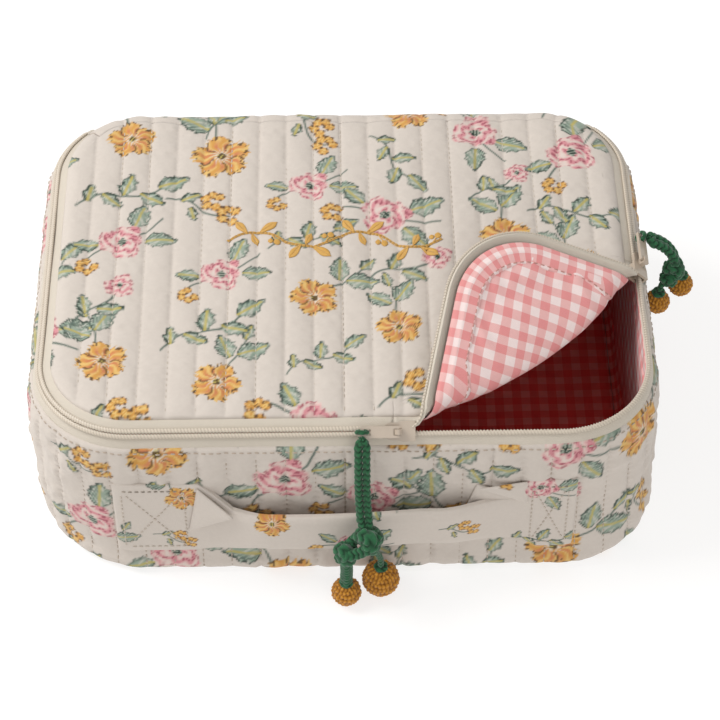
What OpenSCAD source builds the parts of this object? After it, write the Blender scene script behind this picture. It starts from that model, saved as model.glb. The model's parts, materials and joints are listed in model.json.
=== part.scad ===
// Quilted fabric vanity case with a zip-round lid, a folded-back lid corner,
// two zip sliders with crocheted charms, and a soft carrying handle.
// Millimetres. Origin at the centre of the base, on the surface it stands on.
// +Z is up, +X is the case's right, and its front faces -Y.

/* [Case] */
// Width of the case, left to right
case_width = 258; // [230:1:300]
// Depth of the case, front to back
case_depth = 194; // [170:1:230]
// Height of the closed case, without what stands on the lid
case_height = 88; // [78:1:120]
// Radius of the corners seen from above
corner_radius = 42; // [34:1:55]
// Radius of the rounded rim that carries the zip
rim_radius = 14; // [12:0.5:18]
// Radius of the rounded edge at the base
base_edge_radius = 8; // [6:0.5:12]

/* [Quilted fabric] */
// Thickness of the printed cotton outside
outer_thickness = 0.8; // [0.5:0.1:1.2]
// Thickness of the wadding between the two cloths
wadding_thickness = 2.4; // [1.5:0.1:4]
// Thickness of the gingham lining inside
lining_thickness = 0.8; // [0.5:0.1:1.2]
// Air left between two layers that lie on each other
layer_gap = 0.02; // [0.01:0.01:0.05]
// Thickness of the bias binding over the inside seams
binding_thickness = 0.8; // [0.5:0.1:1.2]
// Width of the bias binding on the lining
binding_width = 6; // [4:0.5:9]
// Gap of the hinge seam between the lid and the back panel
hinge_gap = 0.3; // [0.2:0.05:0.6]
// Height of the raised embroidery on the lid
embroidery_height = 0.5; // [0.3:0.1:0.8]
// Width of the embroidered sprig
embroidery_width = 91; // [70:1:96]
// Place of the sprig's middle along the case, from its centre
embroidery_x = -3; // [-10:1:4]
// Place of the sprig's middle across the case, from its centre
embroidery_y = 9; // [4:1:20]

/* [Zip] */
// Thickness of the zip tape
tape_thickness = 0.8; // [0.5:0.1:1]
// Width of one half of the coil
coil_width = 2.2; // [1.8:0.1:2.6]
// Height of the coil on the tape
coil_height = 1.5; // [1:0.1:1.8]
// Gap between the two halves, for the slider's neck
coil_gap = 1.0; // [0.8:0.05:1.3]
// How far round the back corners the zip runs, in degrees
zip_end_angle = 45; // [30:1:60]

/* [Folded corner] */
// Distance of the fold line from the case's centre
fold_distance = 89.4; // [84:0.2:96]
// Direction square to the fold line, turned from the case's right towards its front, in degrees
fold_turn = 49.5; // [44:0.5:52]
// How far the corner is folded back at rest, in degrees
fold_angle = 150; // [120:1:160]
// Gap along the fold between the lid and its corner
fold_gap = 0.3; // [0.2:0.05:0.6]
// Where the corner's own zip starts, past the fold
corner_zip_start = 2.5; // [2:0.25:5]

/* [Sliders] */
// Length of a slider's body
slider_length = 13; // [11:0.5:16]
// Thickness of its upper and lower plates
plate_thickness = 1.1; // [0.9:0.1:1.4]
// Thickness of the neck that parts the coil
neck_thickness = 0.6; // [0.4:0.05:0.7]
// Running clearance between slider and zip
slider_clearance = 0.25; // [0.2:0.05:0.3]
// Width of the bridge on the upper plate
bridge_width = 2.2; // [1.8:0.1:2.8]
// Diameter of the pull tab's pin
pin_diameter = 1.2; // [1:0.1:1.5]
// Clearance round the pin
pin_clearance = 0.1; // [0.05:0.01:0.1]
// Height of the pin's centre over the upper plate
pin_height = 2.1; // [1.9:0.1:2.8]
// Length of the pull tab, from its pin to its end bar
tab_length = 14.4; // [12:0.2:18]
// Width of the pull tab
tab_width = 4.8; // [4.4:0.1:6]
// Thickness of the pull tab
tab_thickness = 1.3; // [1:0.1:1.5]
// Width of the bar at the pull tab's end
end_bar_width = 1.4; // [1.2:0.1:1.6]

/* [Handle] */
// Distance between the inner edges of the two stitched tabs
tab_spacing = 124; // [110:1:140]
// Width of a stitched tab
patch_width = 33; // [28:1:38]
// Height of a stitched tab, which is the strap's full width
patch_height = 44; // [36:1:48]
// Thickness of the folded strap
strap_thickness = 3.2; // [2.6:0.1:4]
// Height of the strap's middle over the base
strap_level = 37; // [34:1:44]
// Height of the folded grip
grip_height = 21; // [18:0.5:24]
// Length of the free grip
grip_length = 60; // [50:1:70]
// Space behind the grip's middle
grip_reach = 9; // [8.5:0.25:12]
// Space behind the grip's two ends
grip_end_reach = 8; // [7.5:0.25:8.5]
// Thickness of the stitches that stand on the tabs
stitch_thickness = 0.5; // [0.3:0.1:0.8]

/* [Charms] */
// Radius of one crocheted strand
strand_radius = 1.55; // [1.2:0.05:1.8]
// Radius of the thin cord that loops through a pull tab
loop_radius = 1; // [0.8:0.05:1.1]
// Radius of the knot under the pull tab
top_knot_radius = 1.5; // [1.2:0.1:1.6]
// Space between that knot and the loop beside it
beside_loop = 0.6; // [0.5:0.1:0.9]
// Radius of the thin stems that carry the balls
stem_radius = 1; // [0.7:0.05:1.2]
// Radius of the front charm's left ball
left_ball_radius = 6.2; // [5:0.1:6.5]
// Radius of the front charm's right ball
right_ball_radius = 7.8; // [6:0.1:8]
// Radius of the side charm's two balls
side_ball_radius = 5.4; // [4.5:0.1:5.6]
// Radius of the front charm's big knot
knot_radius = 5; // [4:0.1:5.2]

/* [Hidden] */
$fn = 64;

// Colours of the cloth, cord and metal
cream = [0.96, 0.91, 0.85];
wadding_white = [0.98, 0.97, 0.95];
gingham = [0.93, 0.55, 0.55];
mustard = [0.85, 0.62, 0.16];
crochet_green = [0.05, 0.42, 0.22];

// Depths of the layers under the outside surface
quilt = outer_thickness + wadding_thickness + lining_thickness;
outer_span = [0, outer_thickness];
wadding_span = [outer_thickness + layer_gap, outer_thickness + wadding_thickness];
lining_span = [outer_thickness + wadding_thickness + layer_gap, quilt];

// Plan: the corners' centres, and the rim's and base edge's centres measured from them
corner_x = case_width / 2 - corner_radius;
corner_y = case_depth / 2 - corner_radius;
rim_r = corner_radius - rim_radius;
rim_z = case_height - rim_radius;
base_r = corner_radius - base_edge_radius;

// Angles round the rim, from the wall's face (0) to the lid's top (90)
zip_angle = 45;
function rim_degrees(length) = length / rim_radius * 180 / PI;
half_gap_angle = rim_degrees(coil_gap / 2);
coil_angle = rim_degrees(coil_width);
half_hinge_angle = rim_degrees(hinge_gap / 2);
coil_top = rim_radius + layer_gap + coil_height;

// Reach of anything cut with a half space
far = 2 * (case_width + case_depth);

// ---- Sweeps round the case's plan ----

// A straight run of the profile, of this length, facing +X and then turned
module straight_run(length, turn) {
    rotate([0, 0, turn]) translate([0, length / 2, 0]) rotate([90, 0, 0])
        linear_extrude(length) children();
}

// A run of the profile round one corner of the plan, between two angles
module corner_run(x, y, from, to) {
    translate([x, y, 0]) rotate([0, 0, from]) rotate_extrude(angle = to - from, $fn = 96) children();
}

// The profile along both sides and the front, as far as the zip's ends
module zip_run() {
    translate([corner_x, 0, 0]) straight_run(2 * corner_y, 0) children();
    translate([-corner_x, 0, 0]) straight_run(2 * corner_y, 180) children();
    translate([0, -corner_y, 0]) straight_run(2 * corner_x, -90) children();
    corner_run(corner_x, -corner_y, -90, 0) children();
    corner_run(-corner_x, -corner_y, 180, 270) children();
    corner_run(corner_x, corner_y, 0, zip_end_angle) children();
    mirror([1, 0, 0]) corner_run(corner_x, corner_y, 0, zip_end_angle) children();
}

// The profile along the back, between the zip's ends
module back_run() {
    translate([0, corner_y, 0]) straight_run(2 * corner_x, 90) children();
    corner_run(-corner_x, corner_y, 90, 180 - zip_end_angle) children();
    mirror([1, 0, 0]) corner_run(-corner_x, corner_y, 90, 180 - zip_end_angle) children();
}

// ---- Profiles, as (distance from the corner's centre, height) ----

// A sector of a ring between two angles
module ring_sector(inner, outer, from, to) {
    middle = (from + to) / 2;
    reach = 2 * outer;
    intersection() {
        difference() {
            circle(outer);
            circle(inner);
        }
        polygon([[0, 0], for (a = [from, middle, to]) reach * [cos(a), sin(a)]]);
    }
}

// A strip round the rim, between two depths and two angles
module rim_strip(span, from, to) {
    translate([rim_r, rim_z]) ring_sector(rim_radius - span[1], rim_radius - span[0], from, to);
}

// The wall's outline at one depth: down its face, and round the base edge in facets
facet_degrees = 22.5;
function wall_line(depth) = [
    [corner_radius - depth, rim_z],
    for (a = [0 : -facet_degrees : -90])
        [base_r, base_edge_radius] + (base_edge_radius - depth) * [cos(a), sin(a)]
];

// One layer of the wall, from the base seam to the top of its flat part
module wall_profile(span) {
    outside = wall_line(span[0]);
    inside = wall_line(span[1]);
    polygon([each outside, for (i = [len(inside) - 1 : -1 : 0]) inside[i]]);
}

// One layer of the back panel, which goes on round the rim to the hinge seam
module back_profile(span) {
    wall_profile(span);
    rim_strip(span, 0, zip_angle - half_hinge_angle);
}

// A flat layer with the plan's rounded outline, drawn in by inset
module plan_plate(inset, low, high) {
    r = corner_radius - inset;
    translate([0, 0, low]) linear_extrude(high - low) {
        square([2 * corner_x, 2 * (corner_y + r)], center = true);
        square([2 * (corner_x + r), 2 * corner_y], center = true);
        for (x = [-1, 1], y = [-1, 1]) translate([x * corner_x, y * corner_y]) circle(r, $fn = 96);
    }
}

// ---- Case ----

module base_layer(span) plan_plate(base_edge_radius + layer_gap, span[0], span[1]);

module base_outer() color(cream) base_layer(outer_span);
module base_wadding() color(wadding_white) base_layer(wadding_span);
module base_lining() color(gingham) base_layer(lining_span);
module wall_outer() color(cream) zip_run() wall_profile(outer_span);
module wall_wadding() color(wadding_white) zip_run() wall_profile(wadding_span);
module wall_lining() color(gingham) zip_run() wall_profile(lining_span);
module back_outer() color(cream) back_run() back_profile(outer_span);
module back_wadding() color(wadding_white) back_run() back_profile(wadding_span);
module back_lining() color(gingham) back_run() back_profile(lining_span);

// Binding over the seam between the base and the wall, on the base's lining
module base_seam_binding() color(gingham) {
    inset = base_edge_radius + layer_gap;
    low = quilt + layer_gap;
    difference() {
        plan_plate(inset, low, low + binding_thickness);
        plan_plate(inset + binding_width, low - 1, low + binding_thickness + 1);
    }
}

// Binding over the wall's top edge and down its lining
module wall_edge_binding() color(gingham) zip_run() {
    top = rim_z + layer_gap;
    translate([corner_radius - quilt - layer_gap - binding_thickness, rim_z - binding_width])
        square([binding_thickness, binding_width + layer_gap + binding_thickness]);
    translate([corner_radius - quilt - layer_gap - binding_thickness, top])
        square([quilt - tape_thickness + binding_thickness - layer_gap, binding_thickness]);
}

// Binding along the hinge seam, on the back panel's lining
module hinge_binding() color(gingham) back_run()
    rim_strip([quilt + layer_gap, quilt + binding_thickness], -5, zip_angle - 3 * half_hinge_angle);

// The wall's half of the zip
module wall_zip_tape() color(cream) zip_run()
    rim_strip([0, tape_thickness], 0, zip_angle - half_gap_angle);

module wall_zip_coil() color(cream) zip_run()
    rim_strip([-layer_gap - coil_height, -layer_gap],
              zip_angle - half_gap_angle - coil_angle, zip_angle - half_gap_angle);

// Cloth covers over the two ends of the zip, at the back corners
module zip_end_covers() color(cream) {
    cover_degrees = 9;
    for (side = [0, 1]) mirror([side, 0, 0])
        corner_run(corner_x, corner_y, zip_end_angle + 0.2, zip_end_angle + cover_degrees)
            rim_strip([-coil_height, -layer_gap], zip_angle - half_gap_angle - 1.5 * coil_angle,
                      zip_angle - half_gap_angle);
}

// ---- Lid ----

// The half space past the fold line, starting this far from it
module past_fold(start) {
    rotate([0, 0, -fold_turn]) translate([fold_distance + start, -far / 2, -far / 2]) cube(far);
}

module lid_layer(span) {
    plan_plate(rim_radius, case_height - span[1], case_height - span[0]);
    back_run() rim_strip(span, zip_angle + half_hinge_angle, 90);
}

module lid_tape_run() zip_run() rim_strip([0, tape_thickness], zip_angle + half_gap_angle, 90);

module lid_coil_run() zip_run()
    rim_strip([-layer_gap - coil_height, -layer_gap],
              zip_angle + half_gap_angle, zip_angle + half_gap_angle + coil_angle);

// Binding round the lid's cut edge: up beside it, and under its lining
module lid_binding_run() zip_run() {
    low = case_height - quilt - layer_gap - binding_thickness;
    translate([rim_r + layer_gap, low])
        square([binding_thickness, quilt - outer_thickness + binding_thickness - 2 * layer_gap]);
    translate([rim_r - binding_width, low])
        square([binding_width + layer_gap, binding_thickness]);
}

// What stays on the lid, and what is folded back with its corner
module lid_side() difference() {
    children();
    past_fold(0);
}

module corner_side(start = fold_gap) {
    rotate([0, 0, -fold_turn]) translate([fold_distance, 0, case_height]) rotate([0, -fold_angle, 0])
        translate([-fold_distance, 0, -case_height]) rotate([0, 0, fold_turn]) intersection() {
            children();
            past_fold(start);
        }
}

module lid_outer() color(cream) lid_side() lid_layer(outer_span);
module lid_wadding() color(wadding_white) lid_side() lid_layer(wadding_span);
module lid_lining() color(gingham) lid_side() lid_layer(lining_span);
module lid_zip_tape() color(cream) lid_side() lid_tape_run();
module lid_zip_coil() color(cream) lid_side() lid_coil_run();
module lid_edge_binding() color(gingham) lid_side() lid_binding_run();

module corner_outer() color(cream) corner_side() lid_layer(outer_span);
module corner_wadding() color(wadding_white) corner_side() lid_layer(wadding_span);
module corner_lining() color(gingham) corner_side() lid_layer(lining_span);
module corner_zip_tape() color(cream) corner_side(corner_zip_start) lid_tape_run();
module corner_zip_coil() color(cream) corner_side(corner_zip_start) lid_coil_run();
module corner_edge_binding() color(gingham) corner_side() lid_binding_run();

// A leaf: where two circles cross, with its base at the origin and pointing along +X
module leaf(length, width) {
    r = (length * length + width * width) / (4 * width);
    intersection() {
        translate([length / 2, r - width / 2]) circle(r);
        translate([length / 2, width / 2 - r]) circle(r);
    }
}

// Raised sprig across the middle of the lid: a waving stem with leaves and berries. It is drawn
// 91 mm wide, and scaled to its width
module lid_embroidery() color(mustard) {
    waves = 4;
    wave_radius = 17;
    half_angle = 42;
    stem_width = 1.2;
    step = 2 * wave_radius * sin(half_angle);
    size = embroidery_width / (waves * step);
    translate([embroidery_x - embroidery_width / 2, embroidery_y, case_height + layer_gap])
        scale(size) linear_extrude(embroidery_height / size) for (i = [0 : waves - 1]) {
            up = i % 2 == 0 ? 1 : -1;
            translate([(i + 0.5) * step, 0]) scale([1, up]) {
                translate([0, -wave_radius * cos(half_angle)])
                    ring_sector(wave_radius - stem_width / 2, wave_radius + stem_width / 2,
                                90 - half_angle, 90 + half_angle);
                crest = wave_radius * (1 - cos(half_angle));
                translate([-3, crest - 0.4]) rotate(125) leaf(8.5, 3.6);
                translate([2, crest - 0.3]) rotate(38) leaf(9.5, 4);
                translate([-1, crest - 0.6]) rotate(-70) leaf(7, 3);
                translate([7, crest - 1.4]) rotate(-60) square([5, 0.9]);
                translate([9.7, crest - 6.2]) circle(1.5);
                translate([7, crest - 5.6]) circle(1.2);
            }
        }
}

// ---- Handle ----

front_face = -case_depth / 2;

// A stitched tab lies on the front wall
module handle_tab(side) color(cream) {
    x = side * (tab_spacing / 2 + patch_width / 2);
    translate([x, front_face - layer_gap, strap_level]) rotate([90, 0, 0])
        linear_extrude(strap_thickness) {
            square([patch_width - 4, patch_height], center = true);
            square([patch_width, patch_height - 4], center = true);
            for (x = [-1, 1], y = [-1, 1])
                translate([x * (patch_width / 2 - 2), y * (patch_height / 2 - 2)]) circle(2);
        }
}

module handle_tab_left() handle_tab(-1);
module handle_tab_right() handle_tab(1);

// The square and cross of stitches on each tab
module handle_tab_stitching() color(wadding_white) {
    margin = 3.5;
    line_width = 0.6;
    wide = patch_width - 2 * margin;
    tall = patch_height - 2 * margin;
    diagonal = sqrt(wide * wide + tall * tall) - 2 * line_width;
    for (side = [-1, 1])
        translate([side * (tab_spacing / 2 + patch_width / 2),
                   front_face - 2 * layer_gap - strap_thickness, strap_level])
            rotate([90, 0, 0]) linear_extrude(stitch_thickness) {
                difference() {
                    square([wide + line_width, tall + line_width], center = true);
                    square([wide - line_width, tall - line_width], center = true);
                }
                for (s = [-1, 1]) rotate(s * atan2(tall, wide))
                    square([diagonal, line_width], center = true);
            }
}

// Pleats: the strap narrows from its tab to the folded grip and swings out from the wall
grip_half = grip_length / 2;
module handle_pleat(side) color(cream) {
    x_tab = tab_spacing / 2 - fold_gap;
    x_grip = grip_half + fold_gap;
    steepness = (grip_end_reach - layer_gap) / (x_tab - x_grip);
    y_near = front_face - fold_gap;
    mirror([side > 0 ? 0 : 1, 0, 0]) intersection() {
        translate([0, 0, strap_level]) rotate([90, 0, 0]) translate([0, 0, -front_face])
            linear_extrude(grip_reach + 2 * strap_thickness)
                polygon([[x_grip, -grip_height / 2], [x_tab, -patch_height / 2],
                         [x_tab, patch_height / 2], [x_grip, grip_height / 2]]);
        linear_extrude(case_height)
            polygon([[x_tab, y_near], [x_grip, y_near - steepness * (x_tab - x_grip)],
                     [x_grip, y_near - steepness * (x_tab - x_grip) - strap_thickness],
                     [x_tab, y_near - strap_thickness]]);
    }
}

module handle_pleat_left() handle_pleat(-1);
module handle_pleat_right() handle_pleat(1);

// The free grip: a shallow arc seen from above
module handle_grip() color(cream) {
    bow = grip_reach - grip_end_reach;
    r = (grip_half * grip_half + bow * bow) / (2 * bow);
    spread = asin(grip_half / r);
    translate([0, front_face - grip_reach + r, strap_level - grip_height / 2])
        rotate([0, 0, -90 - spread]) rotate_extrude(angle = 2 * spread, $fn = 360)
            translate([r, 0]) square([strap_thickness, grip_height]);
}

// ---- Sliders: the zip runs along X, the lid is towards +Y, and +Z leaves the rim ----
// The rim's own centre line is at z = 0, and the slider's mouth is at x = 0.

plate_bottom = coil_top + slider_clearance;
plate_top = plate_bottom + plate_thickness;
pin_z = plate_top + pin_height;
pin_x = -slider_length * 0.54;
end_bar_x = pin_x - tab_length;
bar_reach = sqrt(pow(end_bar_width / 2, 2) + pow(tab_thickness / 2, 2));
loop_r = bar_reach + pin_clearance + loop_radius;
flange_inner = coil_top * sin(half_gap_angle + coil_angle) + slider_clearance;
flange_thickness = 0.9;
slider_half_width = flange_inner + flange_thickness;
under_plate_half = flange_inner - slider_clearance;
under_plate_top = sqrt(pow(rim_radius - tape_thickness, 2) - pow(under_plate_half, 2)) - slider_clearance;

// A plate's outline: a round tail, and shoulders that widen to the mouth
module slider_outline(half_width) {
    tail = half_width * 0.86;
    shoulder = slider_length * 0.4;
    translate([-slider_length + tail, 0]) circle(tail);
    translate([-slider_length + tail, -tail]) square([slider_length - tail - shoulder, 2 * tail]);
    polygon([[-shoulder - 2, -tail], [-shoulder, -half_width], [0, -half_width],
             [0, half_width], [-shoulder, half_width], [-shoulder - 2, tail]]);
}

module slider() color(cream) {
    bridge_r = pin_diameter / 2 + pin_clearance + 0.9;
    neck_length = 2.6;
    translate([0, 0, plate_bottom]) linear_extrude(plate_thickness) slider_outline(slider_half_width);
    translate([0, 0, under_plate_top - plate_thickness]) linear_extrude(plate_thickness)
        slider_outline(under_plate_half);
    translate([-0.8 - neck_length, -neck_thickness / 2, under_plate_top - 0.1])
        cube([neck_length, neck_thickness, plate_bottom - under_plate_top + 0.2]);
    for (side = [-1, 1])
        translate([-slider_length * 0.4, side > 0 ? flange_inner : -slider_half_width, rim_radius])
            cube([slider_length * 0.4, flange_thickness, plate_bottom - rim_radius + 0.1]);
    difference() {
        union() {
            translate([pin_x - bridge_r, -bridge_width / 2, plate_top - 0.1])
                cube([2 * bridge_r, bridge_width, pin_height + 0.1]);
            translate([pin_x, bridge_width / 2, pin_z]) rotate([90, 0, 0])
                cylinder(r = bridge_r, h = bridge_width);
        }
        translate([pin_x, bridge_width, pin_z]) rotate([90, 0, 0])
            cylinder(r = pin_diameter / 2 + pin_clearance, h = 2 * bridge_width);
    }
}

// Pull tab: a pin through the bridge, two cheeks, a plate, and an eye with an end bar
module pull_tab() color(cream) {
    bridge_r = pin_diameter / 2 + pin_clearance + 0.9;
    cheek = (tab_width - bridge_width) / 2 - slider_clearance;
    plate_start = pin_x - bridge_r - slider_clearance;
    eye_width = 2 * loop_radius + 0.6;
    eye_length = 2 * loop_radius + 2 * pin_clearance + bar_reach - end_bar_width / 2 + 0.3;
    eye_right = end_bar_x + end_bar_width / 2 + eye_length;
    translate([pin_x, tab_width / 2, pin_z]) rotate([90, 0, 0])
        cylinder(d = pin_diameter, h = tab_width);
    for (side = [-1, 1]) translate([plate_start - 0.1, side > 0 ? tab_width / 2 - cheek : -tab_width / 2,
                                    pin_z - tab_thickness / 2])
        cube([pin_x - plate_start + 0.1 + tab_thickness / 2, cheek, tab_thickness]);
    translate([0, 0, pin_z - tab_thickness / 2]) linear_extrude(tab_thickness) difference() {
        translate([end_bar_x - end_bar_width / 2, -tab_width / 2])
            square([plate_start - end_bar_x + end_bar_width / 2, tab_width]);
        translate([end_bar_x + end_bar_width / 2, -eye_width / 2])
            square([eye_right - end_bar_x - end_bar_width / 2, eye_width]);
    }
}

// The loop of thin cord round the end bar
module cord_loop() color(crochet_green) {
    translate([end_bar_x, 0, pin_z]) rotate([90, 0, 0]) rotate_extrude()
        translate([loop_r, 0]) circle(loop_radius, $fn = 32);
}

// The small knot beside the loop, on the axis that the charm swings about
module charm_top_knot() color(crochet_green) {
    translate([end_bar_x, -loop_radius - beside_loop - top_knot_radius, pin_z + loop_r])
        sphere(top_knot_radius);
}

// Where the sliders stand: their mouths are just short of the fold's two ends
zip_inset = rim_radius * (1 - cos(zip_angle));
zip_x = case_width / 2 - zip_inset;
zip_y = case_depth / 2 - zip_inset;
mouth_gap = 0.5;
front_mouth_x = (fold_distance - zip_y * sin(fold_turn)) / cos(fold_turn) - mouth_gap;
side_mouth_y = (zip_x * cos(fold_turn) - fold_distance) / sin(fold_turn) + mouth_gap;

module on_front_rim() {
    translate([front_mouth_x, front_face + rim_radius, rim_z]) rotate([zip_angle, 0, 0]) children();
}

module on_side_rim() {
    translate([case_width / 2 - rim_radius, side_mouth_y, rim_z])
        rotate([0, 0, 90]) rotate([zip_angle, 0, 0]) mirror([1, 0, 0]) children();
}

module front_slider() on_front_rim() slider();
module front_pull_tab() on_front_rim() pull_tab();
module front_cord_loop() on_front_rim() cord_loop();
module front_charm_top_knot() on_front_rim() charm_top_knot();
module side_slider() on_side_rim() slider();
module side_pull_tab() on_side_rim() pull_tab();
module side_cord_loop() on_side_rim() cord_loop();
module side_charm_top_knot() on_side_rim() charm_top_knot();

// ---- Charms: routes as [along the rim, out from the wall, height over the base] ----

// A ring of points of one cord at a point of its route, square to the route there
function unit(v) = v / norm(v);
function heading(route, i) =
    unit(route[min(i + 1, len(route) - 1)] - route[max(i - 1, 0)]);
function cord_ring(route, i, r, sides) =
    let (forward = heading(route, i), across = unit(cross(forward, [1, 0.02, 0.01])),
         up = cross(forward, across))
    [for (k = [0 : sides - 1]) route[i] + r * (cos(360 * k / sides) * across + sin(360 * k / sides) * up)];

// A cord as one tube along its route, with flat ends
module cord_tube(route, r, sides = 8) {
    rings = len(route);
    points = [for (i = [0 : rings - 1]) each cord_ring(route, i, r, sides)];
    walls = [for (i = [0 : rings - 2], k = [0 : sides - 1])
        [i * sides + k, i * sides + (k + 1) % sides, (i + 1) * sides + (k + 1) % sides, (i + 1) * sides + k]];
    first = [for (k = [sides - 1 : -1 : 0]) k];
    last = [for (k = [0 : sides - 1]) (rings - 1) * sides + k];
    polyhedron(points, [first, each walls, last]);
}

// From a charm's own coordinates to the case's: out from the front, or out from the right side
front_eye_x = front_mouth_x + end_bar_x;
side_eye_y = side_mouth_y - end_bar_x;
function at_front(p) = [front_eye_x + p[0], front_face - p[1], p[2]];
function at_side(p) = [case_width / 2 + p[1], side_eye_y - p[0], p[2]];
function route_at_front(route, shift) = [for (p = route) at_front(p + [shift, 0, 0])];
function route_at_side(route, shift) = [for (p = route) at_side(p + [shift, 0, 0])];

strand_shift = strand_radius + 0.05;
front_route = [[0, 4.4, 84.6], [0, 6.2, 81.5], [0, 8.3, 77.5], [0, 10.2, 73], [0, 12, 68],
               [0.2, 13.9, 63], [0.5, 16, 58], [0.9, 18.2, 53.2]];
side_route = [[0, 4.6, 85.2], [0.2, 6.7, 84.5], [0.5, 8.9, 83.3], [1, 11.1, 81.7], [1.5, 12.9, 79.7],
              [1.9, 14.2, 77.6], [2.2, 14.9, 75.6]];

module front_strand_left() color(crochet_green) cord_tube(route_at_front(front_route, -strand_shift), strand_radius);
module front_strand_right() color(crochet_green) cord_tube(route_at_front(front_route, strand_shift), strand_radius);
module side_strand_back() color(crochet_green) cord_tube(route_at_side(side_route, -strand_shift), strand_radius);
module side_strand_front() color(crochet_green) cord_tube(route_at_side(side_route, strand_shift), strand_radius);

// The big knots: two round lobes and the neck between them, turned about the line through both
module knot(from, to, from_radius, to_radius, neck_radius) {
    line = to - from;
    length = norm(line);
    translate(from) rotate([0, acos(line[2] / length), atan2(line[1], line[0])]) rotate_extrude()
        intersection() {
            union() {
                circle(from_radius);
                translate([0, length]) circle(to_radius);
                square([neck_radius, length]);
            }
            translate([0, -2 * from_radius]) square([2 * from_radius, length + 4 * from_radius]);
        }
}

front_lobe = [2.3, 22.2, 46];
front_low_lobe = [-6.8, 23.6, 40.5];
side_lobe = [2.2, 15.6, 70];
side_low_lobe = [3.8, 13.4, 65.6];
module front_charm_knot() color(crochet_green)
    knot(at_front(front_lobe), at_front(front_low_lobe), knot_radius, knot_radius * 0.9, knot_radius * 0.6);

module side_charm_knot() color(crochet_green)
    knot(at_side(side_lobe), at_side(side_low_lobe), knot_radius * 0.86, knot_radius * 0.6, knot_radius * 0.4);

// The balls, their caps and the stems that carry them
cap_height = 2;
left_ball = [-6.8, 18.8, 0.6 + left_ball_radius];
right_ball = [7.7, 13.4, 0.6 + right_ball_radius];
side_outer_ball = [-1, 19.6, 56.5];
side_inner_ball = [4.6, 9.4, 51.5];
function over_ball(ball, r, more = 0) = ball + [0, 0, r + layer_gap + more];

module ball_cap(place) translate(place) cylinder(r1 = 2.6, r2 = 1.5, h = cap_height);

module front_ball_left() color(mustard) translate(at_front(left_ball)) sphere(left_ball_radius);
module front_ball_right() color(mustard) translate(at_front(right_ball)) sphere(right_ball_radius);
module side_ball_outer() color(mustard) translate(at_side(side_outer_ball)) sphere(side_ball_radius);
module side_ball_inner() color(mustard) translate(at_side(side_inner_ball)) sphere(side_ball_radius);

module front_charm_caps() color(crochet_green) {
    ball_cap(at_front(over_ball(left_ball, left_ball_radius)));
    ball_cap(at_front(over_ball(right_ball, right_ball_radius)));
}

module side_charm_caps() color(crochet_green) {
    ball_cap(at_side(over_ball(side_outer_ball, side_ball_radius)));
    ball_cap(at_side(over_ball(side_inner_ball, side_ball_radius)));
}

// Each stem ends straight over its ball's cap
module front_charm_stems() color(crochet_green) {
    left_top = over_ball(left_ball, left_ball_radius, cap_height + layer_gap);
    right_top = over_ball(right_ball, right_ball_radius, cap_height + layer_gap);
    cord_tube([for (p = [[-6.8, 23.2, 35.6], [-6.7, 22, 30.5], [-6.7, 20.4, 25], [-6.8, 19.1, 20],
                         left_top + [0, 0, 1.5], left_top]) at_front(p)], stem_radius);
    cord_tube([for (p = [[3.4, 21, 40.4], [4.6, 19.2, 35.5], [6, 16.8, 30], [7.3, 14.6, 24],
                         right_top + [0, 0, 1.5], right_top]) at_front(p)], stem_radius);
}

module side_charm_stems() color(crochet_green) {
    outer_top = over_ball(side_outer_ball, side_ball_radius, cap_height + layer_gap);
    inner_top = over_ball(side_inner_ball, side_ball_radius, cap_height + layer_gap);
    cord_tube([for (p = [[0.9, 18.6, 66.4], outer_top + [0, 0, 1.2], outer_top]) at_side(p)], stem_radius);
    cord_tube([for (p = [[4.4, 11.2, 62.6], inner_top + [0, 0, 1.5], inner_top]) at_side(p)], stem_radius);
}

base_outer();
base_wadding();
base_lining();
wall_outer();
wall_wadding();
wall_lining();
back_outer();
back_wadding();
back_lining();
base_seam_binding();
wall_edge_binding();
hinge_binding();
wall_zip_tape();
wall_zip_coil();
zip_end_covers();
handle_tab_left();
handle_tab_right();
handle_tab_stitching();
handle_pleat_left();
handle_pleat_right();
handle_grip();
lid_outer();
lid_wadding();
lid_lining();
lid_zip_tape();
lid_zip_coil();
lid_edge_binding();
lid_embroidery();
corner_outer();
corner_wadding();
corner_lining();
corner_zip_tape();
corner_zip_coil();
corner_edge_binding();
front_slider();
front_pull_tab();
front_cord_loop();
front_charm_top_knot();
front_strand_left();
front_strand_right();
front_charm_knot();
front_charm_stems();
front_charm_caps();
front_ball_left();
front_ball_right();
side_slider();
side_pull_tab();
side_cord_loop();
side_charm_top_knot();
side_strand_back();
side_strand_front();
side_charm_knot();
side_charm_stems();
side_charm_caps();
side_ball_outer();
side_ball_inner();
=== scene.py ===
# %% [markdown]
# # A quilted vanity case
# The case is a soft box of quilted, flower-printed cotton with a gingham lining. A zip runs round its left,
# front and right, and the lid turns on the cloth along its back. One front corner of the lid is unzipped
# and folded back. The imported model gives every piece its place. The looks are built round it here, one
# piece at a time.

# %% Libraries, and the frame that everything fits
import json
import math

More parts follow.
